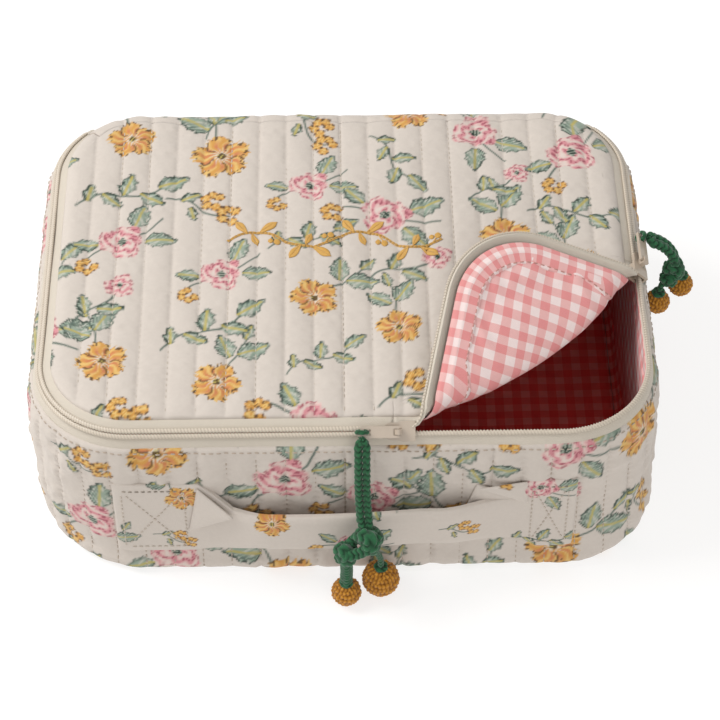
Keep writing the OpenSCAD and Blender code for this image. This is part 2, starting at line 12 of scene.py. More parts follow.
import bpy
import numpy as np
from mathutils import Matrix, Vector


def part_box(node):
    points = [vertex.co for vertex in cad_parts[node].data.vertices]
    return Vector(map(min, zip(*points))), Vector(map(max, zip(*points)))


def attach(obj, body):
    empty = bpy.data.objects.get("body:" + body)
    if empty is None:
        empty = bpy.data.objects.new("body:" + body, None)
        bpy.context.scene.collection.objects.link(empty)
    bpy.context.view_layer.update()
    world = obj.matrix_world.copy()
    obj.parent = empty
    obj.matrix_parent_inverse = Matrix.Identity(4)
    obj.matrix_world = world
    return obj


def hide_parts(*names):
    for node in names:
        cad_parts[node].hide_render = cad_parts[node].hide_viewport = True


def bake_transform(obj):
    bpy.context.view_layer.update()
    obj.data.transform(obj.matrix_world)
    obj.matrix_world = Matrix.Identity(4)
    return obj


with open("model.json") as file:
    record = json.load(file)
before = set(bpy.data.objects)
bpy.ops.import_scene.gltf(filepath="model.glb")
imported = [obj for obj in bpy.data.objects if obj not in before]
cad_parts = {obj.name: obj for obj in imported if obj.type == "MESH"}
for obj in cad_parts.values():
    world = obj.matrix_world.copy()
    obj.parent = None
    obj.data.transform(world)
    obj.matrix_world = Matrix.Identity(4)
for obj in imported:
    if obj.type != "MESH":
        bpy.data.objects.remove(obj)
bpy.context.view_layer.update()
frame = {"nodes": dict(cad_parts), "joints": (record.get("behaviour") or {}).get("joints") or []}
MM = 0.001
print("pieces in the frame:", len(frame["nodes"]))

# %% [markdown]
# ## The sizes
# The main sizes are read from the frame's own boxes, so they follow the construction. Only the roundings
# are named here, because a box doesn't show them. Lengths are in millimetres until a mesh is made.


# %% Sizes of the case
def box_mm(node):
    """The lowest and highest corners of a piece of the frame, in millimetres."""
    low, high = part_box(node)
    return np.array(low) / MM, np.array(high) / MM


half_width = box_mm("wall_outer")[1][0]
half_depth = box_mm("back_outer")[1][1]
top = box_mm("lid_outer")[1][2]
rim_base = box_mm("wall_outer")[1][2]
rim_radius = top - rim_base
corner_radius = 42
base_edge = 8
core_x = half_width - corner_radius
core_y = half_depth - corner_radius
skin_depth = 3.25
lining_depth = 4.05
fold_joint = next(j for j in frame["joints"] if j["name"] == "corner_fold")
fold_distance = math.hypot(fold_joint["pos_m"][0], fold_joint["pos_m"][1]) / MM
fold_angle = math.radians(-fold_joint["range_deg"][0])
fold_sin, fold_cos = -fold_joint["axis"][0], -fold_joint["axis"][1]
print("case", 2 * half_width, "x", 2 * half_depth, "x", top, "mm; fold at", round(fold_distance, 1), "mm")

# %% [markdown]
# ## Light, floor and camera
# A soft white studio: one large light behind on the left, a weaker one in front, a bright even sky, and a
# floor of lit white perspex, which leaves only a faint shadow. A picture of a studio could light the case
# too, but a few lamps are easier to aim. The camera looks down at the case from the front through a long
# lens, so the sides stay nearly parallel.

# %% The camera
CAMERA_HEIGHT = math.radians(48.5)
CAMERA_TURN = math.radians(0.9)
CAMERA_DISTANCE = 1060
camera_target = np.array([7.4, -15.9, 40.0])
toward = np.array(
    [
        -math.sin(CAMERA_TURN) * math.cos(CAMERA_HEIGHT),
        -math.cos(CAMERA_TURN) * math.cos(CAMERA_HEIGHT),
        math.sin(CAMERA_HEIGHT),
    ]
)
camera = bpy.data.objects.new("camera", bpy.data.cameras.new("camera"))
camera.data.lens = 121.5
camera.data.sensor_width = 36
camera.location = (camera_target + CAMERA_DISTANCE * toward) * MM
camera.rotation_euler = (math.pi / 2 - CAMERA_HEIGHT, 0, -CAMERA_TURN)
bpy.context.scene.collection.objects.link(camera)
bpy.context.scene.camera = camera
bpy.context.scene.view_settings.view_transform = "Standard"
print("camera", CAMERA_DISTANCE, "mm away, lens", camera.data.lens, "mm")


# %% Colours, nodes and materials
def linear(colour):
    """An sRGB hex colour as linear red, green, blue and 1: ((c + 0.055) / 1.055) ** 2.4 above 0.04045."""
    c = np.array([int(colour[i : i + 2], 16) / 255 for i in (1, 3, 5)])
    c = np.where(c > 0.04045, ((c + 0.055) / 1.055) ** 2.4, c / 12.92)
    return (*c.tolist(), 1.0)


def add(tree, kind, settings=None, **inputs):
    """Adds a node. settings are its own properties; an input is a value, or the socket that feeds it."""
    node = tree.nodes.new("ShaderNode" + kind)
    for key, value in (settings or {}).items():
        setattr(node, key, value)
    for key, value in inputs.items():
        socket = node.inputs[int(key[1:])] if key[1:].isdigit() else node.inputs[key.replace("_", " ")]
        if isinstance(value, bpy.types.NodeSocket):
            tree.links.new(value, socket)
        else:
            socket.default_value = value
    return node


def material(name, roughness, sheen=0.0, metallic=0.0, coat=0.0, specular=0.5):
    """A new material with these uniform values on its shader, and its node tree and shader."""
    made = bpy.data.materials.new(name)
    made.use_nodes = True
    shader = made.node_tree.nodes["Principled BSDF"]
    shader.inputs["Roughness"].default_value = roughness
    shader.inputs["Sheen Weight"].default_value = sheen
    shader.inputs["Sheen Roughness"].default_value = 0.5
    shader.inputs["Metallic"].default_value = metallic
    shader.inputs["Coat Weight"].default_value = coat
    shader.inputs["Specular IOR Level"].default_value = specular
    return made, made.node_tree, shader


# %% The floor and the lights
floor_material, _, floor_shader = material("lit_white_perspex", 0.9, specular=0.1)
floor_shader.inputs["Base Color"].default_value = linear("#9c9a98")
floor_shader.inputs["Emission Color"].default_value = (1, 1, 1, 1)
floor_shader.inputs["Emission Strength"].default_value = 0.72
bpy.ops.mesh.primitive_plane_add(size=8)
floor = bpy.context.object
floor.name = "floor"
floor.data.materials.append(floor_material)


def softbox(name, place, aim, width, power):
    """A square area light at a place, in metres, that looks at a point."""
    light = bpy.data.objects.new(name, bpy.data.lights.new(name, "AREA"))
    light.data.size = width
    light.data.energy = power
    light.location = place
    way = np.array(aim) - np.array(place)
    tilt = math.atan2(math.hypot(way[0], way[1]), -way[2])
    light.rotation_euler = (tilt, 0, math.atan2(way[1], way[0]) - math.pi / 2)
    bpy.context.scene.collection.objects.link(light)


softbox("key", (-1.0, 0.12, 1.2), (0, 0, 0.05), 0.8, 18.5)
softbox("front_fill", (0.4, -1.5, 1.0), (0, 0, 0.05), 1.2, 5)
world = bpy.data.worlds.new("studio")
world.use_nodes = True
world.node_tree.nodes["Background"].inputs["Color"].default_value = (1, 1, 1, 1)
world.node_tree.nodes["Background"].inputs["Strength"].default_value = 0.62
bpy.context.scene.world = world

# %% [markdown]
# ## The case's outline and section
# Every panel, tape and seam follows the same outline in plan and the same section up the wall and over the
# rim. Each could be modelled by hand, but then their edges would have to be matched one by one. So a point
# of the case is given by two lengths, s round the outline and t up the section, and by an offset outwards.
# Both curves come from np.interp: a rounded outline is a point that slides along a smaller sharp rectangle,
# plus a radius in a direction that turns only while the point waits at a corner.

# %% The lengths along the outline and the section
corner_arc = corner_radius * math.pi / 2
outline_knots = np.cumsum(
    [0, core_x, corner_arc, 2 * core_y, corner_arc, 2 * core_x, corner_arc, 2 * core_y, corner_arc, core_x]
)
perimeter = outline_knots[-1]
LID_REACH = 20
base_arc, rim_arc = base_edge * math.pi / 2, rim_radius * math.pi / 2
section_knots = np.cumsum([0, base_arc, rim_base - base_edge, rim_arc, LID_REACH])
t_rim = section_knots[2]
t_top = section_knots[3]
t_zip = (t_rim + t_top) / 2
zip_end = outline_knots[3] + corner_arc / 2
print("outline", round(perimeter), "mm, section", round(t_top), "mm, zip", round(2 * zip_end), "mm")


# %% A point of the outline, and of the skin
def points_of(*parts):
    """Points from their x, y and z, which are arrays or numbers whose shapes may differ."""
    return np.stack(np.broadcast_arrays(*parts), -1)


def outline(s):
    """The core point (x, y) and the outward direction at length s round the case, from the middle of the
    front and anticlockwise from above."""
    s = s % perimeter
    x = np.interp(s, outline_knots, core_x * np.array([0, 1, 1, 1, 1, -1, -1, -1, -1, 0]))
    y = np.interp(s, outline_knots, core_y * np.array([-1, -1, -1, 1, 1, 1, 1, -1, -1, -1]))
    angle = np.interp(s, outline_knots, [-90, -90, 0, 0, 90, 90, 180, 180, 270, 270])
    return x, y, np.radians(angle)


def skin(s, t, offset=0.0):
    """The point at s round the outline and t up the section, moved out of the surface by an offset: core +
    (r + (rho + offset) cos phi) outwards, and z + (rho + offset) sin phi up."""
    x, y, angle = outline(s)
    rim_r = corner_radius - rim_radius
    r = np.interp(t, section_knots, [corner_radius - base_edge] * 2 + [rim_r, rim_r, rim_r - LID_REACH])
    z = np.interp(t, section_knots, [base_edge, base_edge, rim_base, rim_base, rim_base])
    rho = np.interp(t, section_knots, [base_edge, base_edge, rim_radius, rim_radius, rim_radius]) + offset
    phi = np.radians(np.interp(t, section_knots, [-90, 0, 0, 90, 90]))
    out = r + rho * np.cos(phi)
    return points_of(x + out * np.cos(angle), y + out * np.sin(angle), z + rho * np.sin(phi))


# %% [markdown]
# ## Closed panels from grids
# A quilted panel has two faces with wadding between them. It is a dense outer grid, which shows every
# pucker, and a coarser inner grid, joined by a strip round the border. A Solidify modifier would make both
# faces equally dense, for no gain. Both grids come from one place function, so the panel is closed and its
# thickness is exact.


# %% Meshes from arrays
def new_piece(name, points, faces, finish, uv=None, colour=None, smooth_lists=None):
    """A mesh object from points in millimetres and lists of faces, of which the first smooth_lists are
    shaded smooth. uv is in millimetres, one pair a point, and colour is one linear colour a point."""
    mesh = bpy.data.meshes.new(name)
    smooth = np.concatenate([np.full(len(f), k < (smooth_lists or len(faces))) for k, f in enumerate(faces)])
    faces = [np.asarray(f, dtype=np.int64) for f in faces if len(f)]
    corners = np.concatenate([f.ravel() for f in faces])
    sizes = np.concatenate([np.full(len(f), f.shape[1]) for f in faces])
    mesh.vertices.add(len(points))
    mesh.vertices.foreach_set("co", (np.asarray(points) * MM).astype(np.float32).ravel())
    mesh.loops.add(len(corners))
    mesh.loops.foreach_set("vertex_index", corners.astype(np.int32))
    mesh.polygons.add(len(sizes))
    mesh.polygons.foreach_set("loop_start", np.concatenate([[0], np.cumsum(sizes)[:-1]]).astype(np.int32))
    mesh.polygons.foreach_set("use_smooth", smooth)
    if uv is not None:
        mesh.uv_layers.new(name="cloth").data.foreach_set("uv", uv[corners].astype(np.float32).ravel())
    # The print attribute holds the print's colours, and on the coils and the crochet a painted shade that is
    # darker in the grooves
    if colour is not None:
        layer = mesh.color_attributes.new("print", "FLOAT_COLOR", "POINT")
        layer.data.foreach_set("color", np.c_[colour, np.ones(len(colour))].astype(np.float32).ravel())
    mesh.update()
    mesh.validate()
    piece = bpy.data.objects.new(name, mesh)
    bpy.context.scene.collection.objects.link(piece)
    mesh.materials.append(finish)
    print(name, len(points), "points")
    return piece


def grid_faces(rows, columns, start=0, flip=False):
    """The four-sided faces of a grid of rows by columns whose first point has the number start."""
    i = start + np.arange(rows * columns).reshape(rows, columns)
    quads = np.stack([i[:-1, :-1], i[1:, :-1], i[1:, 1:], i[:-1, 1:]], -1).reshape(-1, 4)
    return quads[:, ::-1] if flip else quads


def border(rows, columns, start=0):
    """The numbers of a grid's border points, once round."""
    i = start + np.arange(rows * columns).reshape(rows, columns)
    return np.concatenate([i[:-1, 0], i[-1, :-1], i[:0:-1, -1], i[0, :0:-1]])


def closed_faces(rows, columns, step, flip=False):
    """The faces of a closed panel: a dense outer grid, an inner grid of every step-th point, and the strip
    of triangles round the border. Each coarse point takes the dense edges nearest to it."""
    inner_rows = (rows - 1) // step + 1
    inner_columns = (columns - 1) // step + 1
    start = rows * columns
    dense = border(rows, columns)
    coarse = border(inner_rows, inner_columns, start)
    i = np.arange(len(dense))
    j = np.arange(len(coarse))
    rim = np.stack([dense, np.roll(dense, -1), coarse[((i + step // 2) // step) % len(coarse)]], -1)
    gaps = np.stack([dense[(j * step + step // 2) % len(dense)], np.roll(coarse, -1), coarse], -1)
    if not flip:
        rim = rim[:, ::-1]
        gaps = gaps[:, ::-1]
    outer = grid_faces(rows, columns, 0, flip)
    inner = grid_faces(inner_rows, inner_columns, start, not flip)
    return [outer, inner, rim, gaps]


def panel(name, finish, place, u, v, outer, inner, step=4, flip=False, flat=None, paint=None):
    """A closed panel over the grid of u and v. place(u, v, offset) gives points, and outer(u, v) and
    inner(u, v) the offsets of its two faces; inner may be a number. flat(u, v) gives cloth coordinates, and
    paint(x, y) a colour for them."""
    u, v = np.meshgrid(u, v, indexing="ij")
    u_in, v_in = u[::step, ::step], v[::step, ::step]
    front = place(u, v, outer(u, v))
    back = place(u_in, v_in, inner(u_in, v_in) if callable(inner) else inner + 0 * u_in)
    points = np.concatenate([front.reshape(-1, 3), back.reshape(-1, 3)])
    flat = flat or (lambda a, b: (a, b))
    cloth = np.concatenate([points_of(*flat(a, b)).reshape(-1, 2) for a, b in ((u, v), (u_in, v_in))])
    colour = None if paint is None else paint(cloth[:, 0], cloth[:, 1])
    return new_piece(name, points, closed_faces(*u.shape, step, flip), finish, cloth, colour, smooth_lists=2)


def steps(start, end, pitch, multiple=4):
    """Evenly spaced numbers from start to end, about a pitch apart, in a count that the coarse grid
    divides."""
    count = max(1, round(abs(end - start) / pitch / multiple)) * multiple
    return np.linspace(start, end, count + 1)


def settle(piece, body, slot_name, *nodes, fill=None):
    """Gives a piece its body and hides the frame's nodes that it stands for; slot_name, its finish's slot,
    and fill, its padding, are not used. A piece of the folded corner is given no body: its place is only
    baked into its mesh."""
    if body == "lid_corner":
        hinge = np.array(fold_joint["pos_m"])
        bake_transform(piece)
    else:
        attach(piece, body)
    if nodes:
        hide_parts(*nodes)


# %% Unevenness and quilting
def ripple(x, y, size, seed):
    """Smooth unevenness, mostly from -1 to 1: six sine waves of about this length, in directions and phases
    that the seed draws."""
    draw = np.random.default_rng(seed)
    total = 0
    for _ in range(6):
        turn, phase = draw.uniform(0, 2 * math.pi, 2)
        wave = size * draw.uniform(0.7, 1.5)
        total = total + np.sin((x * math.cos(turn) + y * math.sin(turn)) * 2 * math.pi / wave + phase)
    return total / 3


CHANNEL = 12.0
STITCH_PITCH = 3.1


def quilted(x, y, height, pucker, seed):
    """Height of quilted cloth whose lines of stitches run along y, a channel apart: half an ellipse over
    each channel, uneven along it, with small puckers that start at the stitches and fade towards the
    middle."""
    share = (x / CHANNEL) % 1
    line = np.round(x / CHANNEL)
    puff = np.sqrt(np.clip(1 - (2 * share - 1) ** 2, 0, 1)) * (1 + 0.22 * ripple(x, y, 26, seed))
    away = CHANNEL * np.minimum(share, 1 - share)
    folds = np.sin(2 * math.pi * y / STITCH_PITCH + 2.1 * line) * np.exp(-((away / 1.5) ** 2))
    creases = ripple(x * 0.35, y, 7, seed + 1) * np.exp(-((away - 2.4) ** 2) / 6)
    return height * puff + pucker * (0.45 * folds + 0.8 * creases)


def ease(distance, reach):
    """From 0 at a seam to 1 at this reach from it, along a quarter of a circle."""
    share = np.clip(distance / reach, 0, 1)
    return np.sqrt(1 - (1 - share) ** 2)


# %% [markdown]
# ## The printed cotton
# The cloth is plain-woven cotton with a scattered flower print: pink rosettes, mustard blossoms, serrated
# leaves, berries and thin stems. An image could carry the print, but it would have to be drawn elsewhere.
# Here the motifs are formulas in cloth coordinates, in millimetres, and they are stored as one colour a
# point, so the print follows each panel and its puckers. The weave and the nap come from nodes on top of
# it.

# %% Inks, and how a mark is laid on the cloth
INKS = {
    "cream": "#c6bcb2",
    "milk": "#cfc8bd",
    "blush": "#d3aea8",
    "pink": "#c47f86",
    "madder": "#8a3a4a",
    "straw": "#d3b06c",
    "mustard": "#c6924a",
    "apricot": "#c07a50",
    "umber": "#4a3424",
    "sage": "#8d9a8b",
    "moss": "#55645a",
    "bottle": "#2b3a30",
    "lime": "#b0a155",
}
inks = {name: np.array(linear(value)[:3]) for name, value in INKS.items()}
EDGE = 0.45


def lay(colour, amount, ink):
    """Prints an ink over the colours, by an amount from 0 to 1."""
    colour += np.clip(amount, 0, 1)[:, None] * (inks[ink] - colour)


def inside(depth):
    """From a depth inside an edge, in millimetres, to a soft 0 to 1."""
    return np.clip(depth / EDGE + 0.5, 0, 1)


def worn(u, v):
    """Broken ink, from -1 to 1: two crossed waves that bend each other, a few millimetres long."""
    return np.sin(2.3 * u + 1.7 * np.sin(1.3 * v)) * np.sin(2.1 * v + 1.5 * np.sin(1.1 * u + 0.4))


def print_leaf(colour, u, v, length, width):
    """A serrated leaf along +u from the origin: a yellow rib, dark hatching on one half, and a broken
    outline."""
    share = np.clip(u / length, 0, 1)
    half = width / 2 * np.sin(math.pi * share**0.75) ** 0.7
    teeth = 0.75 * np.abs(np.sin(share * math.pi * length / 3.1))
    depth = np.minimum(half - teeth * (half > 1) - np.abs(v) + 0.25 * worn(u, v), np.minimum(u, length - u))
    lay(colour, inside(depth), "sage")
    lay(colour, inside(depth) * np.clip(worn(0.5 * u, 0.6 * v + 3), 0, 0.5), "milk")
    hatch = np.sin((u * 0.8 - np.abs(v) * 1.1) * 2 * math.pi / 1.7 + worn(v, u)) > -0.1
    side = np.clip(np.abs(v) / (half + 0.1) * 1.6 - 0.5 + 0.55 * (v > 0), 0, 0.9)
    lay(colour, inside(depth) * hatch * side, "moss")
    edge = inside(0.42 - np.abs(depth - 0.25))
    lay(colour, edge * (worn(1.4 * u, v) > -0.35) * np.where(v > 0, 0.95, 0.55), "bottle")
    lay(colour, inside(0.42 - np.abs(v)) * (depth > 0) * (share < 0.88) * 0.9, "lime")


def print_rosette(colour, u, v, radius):
    """A full blown rosette: broken arcs of petals round a centre that wanders, pale between, dark in the
    folds."""
    r = np.hypot(u, v)
    turn = np.arctan2(v, u)
    ragged = worn(u * 9 / radius, v * 9 / radius)
    rim = radius * (0.84 + 0.1 * np.sin(3 * turn + 0.8) + 0.07 * np.sin(7 * turn) + 0.05 * ragged)
    depth = rim - r
    lay(colour, inside(depth) * 0.85, "blush")
    bent = 1.7 * np.sin(2 * turn + 0.9) + 1.2 * np.sin(5 * turn + r) + 0.5 * ragged
    arcs = np.sin((r / radius) * 15 + bent)
    lay(colour, inside(depth - 0.3) * np.clip(0.35 + 1.3 * arcs, 0, 1) * 0.9, "pink")
    lay(colour, inside(depth - 0.6) * np.clip(-1.6 * arcs - 0.8, 0, 1) * 0.8, "milk")
    dash = (np.sin(17 * turn + 2.2 * r) > 0.1) * (arcs > 0.45) * (ragged > -0.3)
    lay(colour, inside(depth - 0.5) * dash * 0.75, "madder")
    lay(colour, inside(0.4 - np.abs(depth - 0.4)) * (np.sin(13 * turn + ragged) > 0.35) * 0.7, "madder")
    lay(colour, inside(radius * 0.2 + 0.4 * ragged - r) * 0.9, "sage")
    lay(colour, inside(radius * 0.2 - r) * (ragged > 0.15), "bottle")


def print_blossom(colour, u, v, radius):
    """A ruffled blossom of five broad petals: straw and mustard streaks, a pale throat, brown dashes on the
    tips."""
    r = np.hypot(u, v)
    turn = np.arctan2(v, u) + 0.12 * np.sin(r)
    ragged = worn(u * 9 / radius, v * 9 / radius)
    petal = np.abs(np.cos(2.5 * turn))
    rim = radius * (0.6 + 0.34 * petal**0.5 + 0.05 * np.sin(23 * turn + 2 * ragged) + 0.04 * ragged)
    depth = rim - r
    share = r / radius
    lay(colour, inside(depth), "mustard")
    streak = np.sin(14 * turn + 1.5 * np.sin(3 * share + turn))
    lay(colour, inside(depth) * np.clip(0.35 + 0.9 * streak, 0, 0.9), "straw")
    warm = np.clip(1.3 - 3.2 * np.abs(share - 0.42), 0, 1)
    lay(colour, inside(depth - 0.8) * np.clip(np.sin(11 * turn + 1.1) + 0.35, 0, 1) * warm, "apricot")
    lay(colour, inside(depth - 1) * np.clip(1.15 - 3.6 * share + 0.5 * streak, 0, 0.9), "milk")
    between = inside(0.32 - np.abs(np.cos(2.5 * turn)) * r * 0.32) * (share > 0.28)
    lay(colour, inside(depth) * between * (ragged > -0.5) * 0.8, "umber")
    tips = (np.sin(25 * turn + 2 * ragged) > 0.2) * (depth < radius * (0.12 + 0.06 * np.sin(11 * turn)))
    lay(colour, inside(depth) * tips * 0.9, "umber")
    lay(colour, inside(radius * 0.13 - r), "lime")
    lay(colour, inside(radius * 0.15 - r) * (ragged > 0.1) * 0.9, "umber")


def print_stem(colour, u, v, start, end, bend):
    """A thin stem between two lengths along u, swaying by a bend on one sine wave."""
    share = (u - start) / (end - start)
    sway = bend * np.sin(2 * math.pi * share)
    along = inside(np.minimum(u - start, end - u))
    lay(colour, inside(0.36 - np.abs(v - sway)) * along, "moss")


def turned(u, v, x, y, angle):
    """Coordinates about (x, y), turned by an angle in degrees."""
    c, s = math.cos(math.radians(angle)), math.sin(math.radians(angle))
    return (u - x) * c + (v - y) * s, (v - y) * c - (u - x) * s


def print_leaves(colour, u, v, places):
    """Leaves given as (x, y, angle, length)."""
    for x, y, angle, length in places:
        print_leaf(colour, *turned(u, v, x, y, angle), length, length * 0.7)


def print_berries(colour, u, v, x, y):
    """A bunch of five berries on fine stalks, each ringed with dots."""
    for k in range(5):
        angle = math.radians(70 * k - 110)
        bx, by = x + (2.1 + 1.2 * (k % 2)) * math.cos(angle), y + (2.4 + k % 3) * math.sin(angle)
        r = np.hypot(u - bx, v - by) + 0.25 * worn(2 * u, 2 * v)
        lay(colour, inside(1.75 - r), "mustard")
        lay(colour, inside(1.2 - r) * (worn(3 * u, 2 * v) > 0), "straw")
        dots = np.sin(5 * np.arctan2(v - by, u - bx)) > 0
        lay(colour, inside(0.35 - np.abs(r - 1.6)) * dots * 0.9, "umber")


# %% Five sprays, each on a stem along u
def rose_spray(colour, u, v):
    """A full blown rosette with three leaves and a bunch of berries."""
    print_stem(colour, u, v, -21, 19, 1.6)
    print_leaves(colour, u, v, [(8, 3, 35, 13), (7, -5, -38, 12), (-8, 4, 140, 10)])
    print_rosette(colour, u, v, 9.5)
    print_berries(colour, u, v, -18, -2)


def blossom_spray(colour, u, v):
    """A blossom at the foot of a stem with three leaves."""
    print_stem(colour, u, v, -6, 25, 1.2)
    print_leaves(colour, u, v, [(13, 1, 48, 12), (15, -1, -42, 13), (23, 0, 8, 8)])
    print_blossom(colour, u, v, 9.8)


def leaf_spray(colour, u, v):
    """Five leaves on a swaying stem."""
    print_stem(colour, u, v, -16, 12, 2.2)
    places = [(-12, 1, 62, 7), (-7, 2, -58, 8), (-1, 0, 55, 9), (4, -1, -50, 9), (10, 0, 5, 10)]
    print_leaves(colour, u, v, places)


def berry_spray(colour, u, v):
    """Two bunches of berries with two leaves."""
    print_stem(colour, u, v, -13, 9, 1.8)
    print_leaves(colour, u, v, [(-8, 1, 45, 7), (-4, -1, -55, 6)])
    print_berries(colour, u, v, 8, 0)
    print_berries(colour, u, v, 1, 4)


def bud_spray(colour, u, v):
    """A small rosette with two leaves."""
    print_stem(colour, u, v, -14, 8, 1.4)
    print_leaves(colour, u, v, [(-6, 1, 50, 8), (-3, -1, -48, 9)])
    print_rosette(colour, *turned(u, v, 9, 0, 0), 5.4)


# %% The scatter that repeats the sprays
SPRAYS = [blossom_spray, leaf_spray, rose_spray, berry_spray]
SPRAYS += [blossom_spray, bud_spray, rose_spray, leaf_spray]
SPRAY_REACH = 34


def scatter(low, high, seed, across=40.0, along=33.0, size=1.3):
    """Sprays on a half-drop grid over a stretch of cloth, each moved, turned and sized a little: (spray, x,
    y, angle, size)."""
    draw = np.random.default_rng(seed)
    places = []
    for i in range(int((high[0] - low[0]) / across) + 2):
        for j in range(int((high[1] - low[1]) / along) + 2):
            x = low[0] + across * (i + draw.uniform(-0.16, 0.16))
            y = low[1] + along * (j + (0.5 if i % 2 else 0) + draw.uniform(-0.16, 0.16))
            kind = SPRAYS[(3 * i + 5 * j + (i // 2)) % len(SPRAYS)]
            angle = draw.uniform(-60, 60) + (90 if kind is blossom_spray else 0)
            places.append((kind, x, y, angle, size * draw.uniform(0.8, 1.12)))
    return places


def printed(places):
    """A function from cloth coordinates to the print's colours there, for panel()."""

    def paint(x, y):
        """Bare cream cloth first, then each spray on the points that it can reach."""
        colour = np.tile(inks["cream"], (len(x), 1))
        for kind, px, py, angle, size in places:
            near = np.flatnonzero(np.maximum(np.abs(x - px), np.abs(y - py)) < SPRAY_REACH * size)
            if len(near):
                part = colour[near]
                u, v = turned(x[near], y[near], px, py, angle)
                kind(part, u / size, v / size)
                colour[near] = part
        return colour

    return paint


# %% Colour and bump for the finishes
def weave_bump(tree, shader, pitch_mm, strength, distance=0.0002):
    """Fine plain weave as bump, from the cloth's own coordinates, which it returns: two crossed waves a
    thread pitch apart, and slubs."""
    uv = add(tree, "UVMap", {"uv_map": "cloth"}).outputs[0]
    parts = add(tree, "SeparateXYZ", Vector=uv)
    rate = 2 * math.pi / pitch_mm
    waves = []
    for axis in (0, 1):
        scaled = add(tree, "Math", {"operation": "MULTIPLY"}, i0=parts.outputs[axis], i1=rate)
        waves.append(add(tree, "Math", {"operation": "SINE"}, i0=scaled.outputs[0]).outputs[0])
    both = add(tree, "Math", {"operation": "MULTIPLY"}, i0=waves[0], i1=waves[1]).outputs[0]
    slub = add(tree, "TexNoise", Vector=uv, Scale=0.9, Detail=4.0).outputs[0]
    height = add(tree, "Math", {"operation": "MULTIPLY_ADD"}, i0=slub, i1=2.0, i2=both).outputs[0]
    bent = add(tree, "Bump", Height=height, Strength=strength, Distance=distance)
    tree.links.new(bent.outputs[0], shader.inputs["Normal"])
    return uv


def tint(tree, shader, colour, where, scale, dark, light):
    """Colours the shader with a hex colour or a socket's, times a soft noise between two shades, for uneven
    dye and wear. where is the socket of the coordinates, and about scale lumps of noise fit in one unit of
    them, which is a millimetre of cloth or a metre of any other piece."""
    noise = add(tree, "TexNoise", Vector=where, Scale=scale, Detail=3.0).outputs[0]
    shade = add(tree, "MapRange", Value=noise, To_Min=dark, To_Max=light).outputs[0]
    colour = linear(colour) if isinstance(colour, str) else colour
    mix = add(tree, "Mix", {"data_type": "RGBA", "blend_type": "MULTIPLY"}, Factor=1.0, A=colour, B=shade)
    tree.links.new(mix.outputs["Result"], shader.inputs["Base Color"])


def plain_finish(name, roughness, colour, scale, dark, light, **words):
    """A material of one colour, which is a little uneven in the piece's own coordinates."""
    made, tree, shader = material(name, roughness, **words)
    tint(tree, shader, colour, add(tree, "TexCoord").outputs["Object"], scale, dark, light)
    return made


def between(tree, dark, light):
    """The points' painted shade as a colour, from dark in the grooves, where shade falls, to light on the
    crests.
    """
    shades = add(tree, "VertexColor", {"layer_name": "print"})
    ramp = add(tree, "ValToRGB", Fac=shades.outputs[0])
    ramp.color_ramp.elements[0].color = linear(dark)
    ramp.color_ramp.elements[1].color = linear(light)
    return ramp.outputs[0]


# %% Cloth finishes
# Quilter's cotton: matt, with a faint nap, and threads about 0.3 mm apart, drawn at 0.8 mm so that they
# show
printed_cotton, tree, shader = material("printed_quilters_cotton", 0.88, sheen=0.12, specular=0.25)
inks_there = add(tree, "VertexColor", {"layer_name": "print"}).outputs[0]
tint(tree, shader, inks_there, weave_bump(tree, shader, 0.8, 0.25), 0.6, 0.95, 1.03)

# Yarn-dyed gingham: where two coloured bands cross the colour is full, where one lies it is half
GINGHAM_CHECK = 4.0
# Heights, in metres, between which the walls' lining pales from its shaded shades to its lit ones: painted
# light towards the rim
RIM_LIGHT_HEIGHTS = (8 * MM, 44 * MM)


def three_shades(tree, amount, full, half, plain):
    """The plain, half and full colours for amounts of 0, 1/2 and 1."""
    ramp = add(tree, "ValToRGB", Fac=amount)
    ramp.color_ramp.interpolation = "CONSTANT"
    ramp.color_ramp.elements[0].color = linear(plain)
    ramp.color_ramp.elements[1].position = 0.75
    ramp.color_ramp.elements[1].color = linear(full)
    ramp.color_ramp.elements.new(0.25).color = linear(half)
    return ramp.outputs[0]


def gingham(name, shades, rim_lit_shades=None):
    """Gingham on the cloth's coordinates: in each direction a band is coloured where the share of its repeat
    of two checks is over a half. Where lit shades for the rim are given, the cloth pales to them between two
    heights. This is painted light: the cloth is brighter towards the opening, where more light reaches the
    lining."""
    made, tree, shader = material(name, 0.86, sheen=0.1, specular=0.25)
    uv = weave_bump(tree, shader, 0.8, 0.2)
    parts = add(tree, "SeparateXYZ", Vector=uv)
    bands = []
    for axis in (0, 1):
        repeat = add(tree, "Math", {"operation": "DIVIDE"}, i0=parts.outputs[axis], i1=2 * GINGHAM_CHECK)
        share = add(tree, "Math", {"operation": "FRACT"}, i0=repeat.outputs[0])
        bands.append(add(tree, "Math", {"operation": "GREATER_THAN"}, i0=share.outputs[0], i1=0.5).outputs[0])
    total = add(tree, "Math", {"operation": "ADD"}, i0=bands[0], i1=bands[1])
    shade = add(tree, "Math", {"operation": "MULTIPLY"}, i0=total.outputs[0], i1=0.5).outputs[0]
    colour = three_shades(tree, shade, *shades)
    if rim_lit_shades:
        height = add(tree, "SeparateXYZ", Vector=add(tree, "TexCoord").outputs["Object"]).outputs[2]
        near_rim = add(tree, "MapRange", Value=height, From_Min=RIM_LIGHT_HEIGHTS[0], From_Max=RIM_LIGHT_HEIGHTS[1]).outputs[0]
        pale = three_shades(tree, shade, *rim_lit_shades)
        colour = add(tree, "Mix", {"data_type": "RGBA"}, Factor=near_rim, A=colour, B=pale).outputs["Result"]
    tint(tree, shader, colour, uv, 0.8, 0.94, 1.03)
    return made


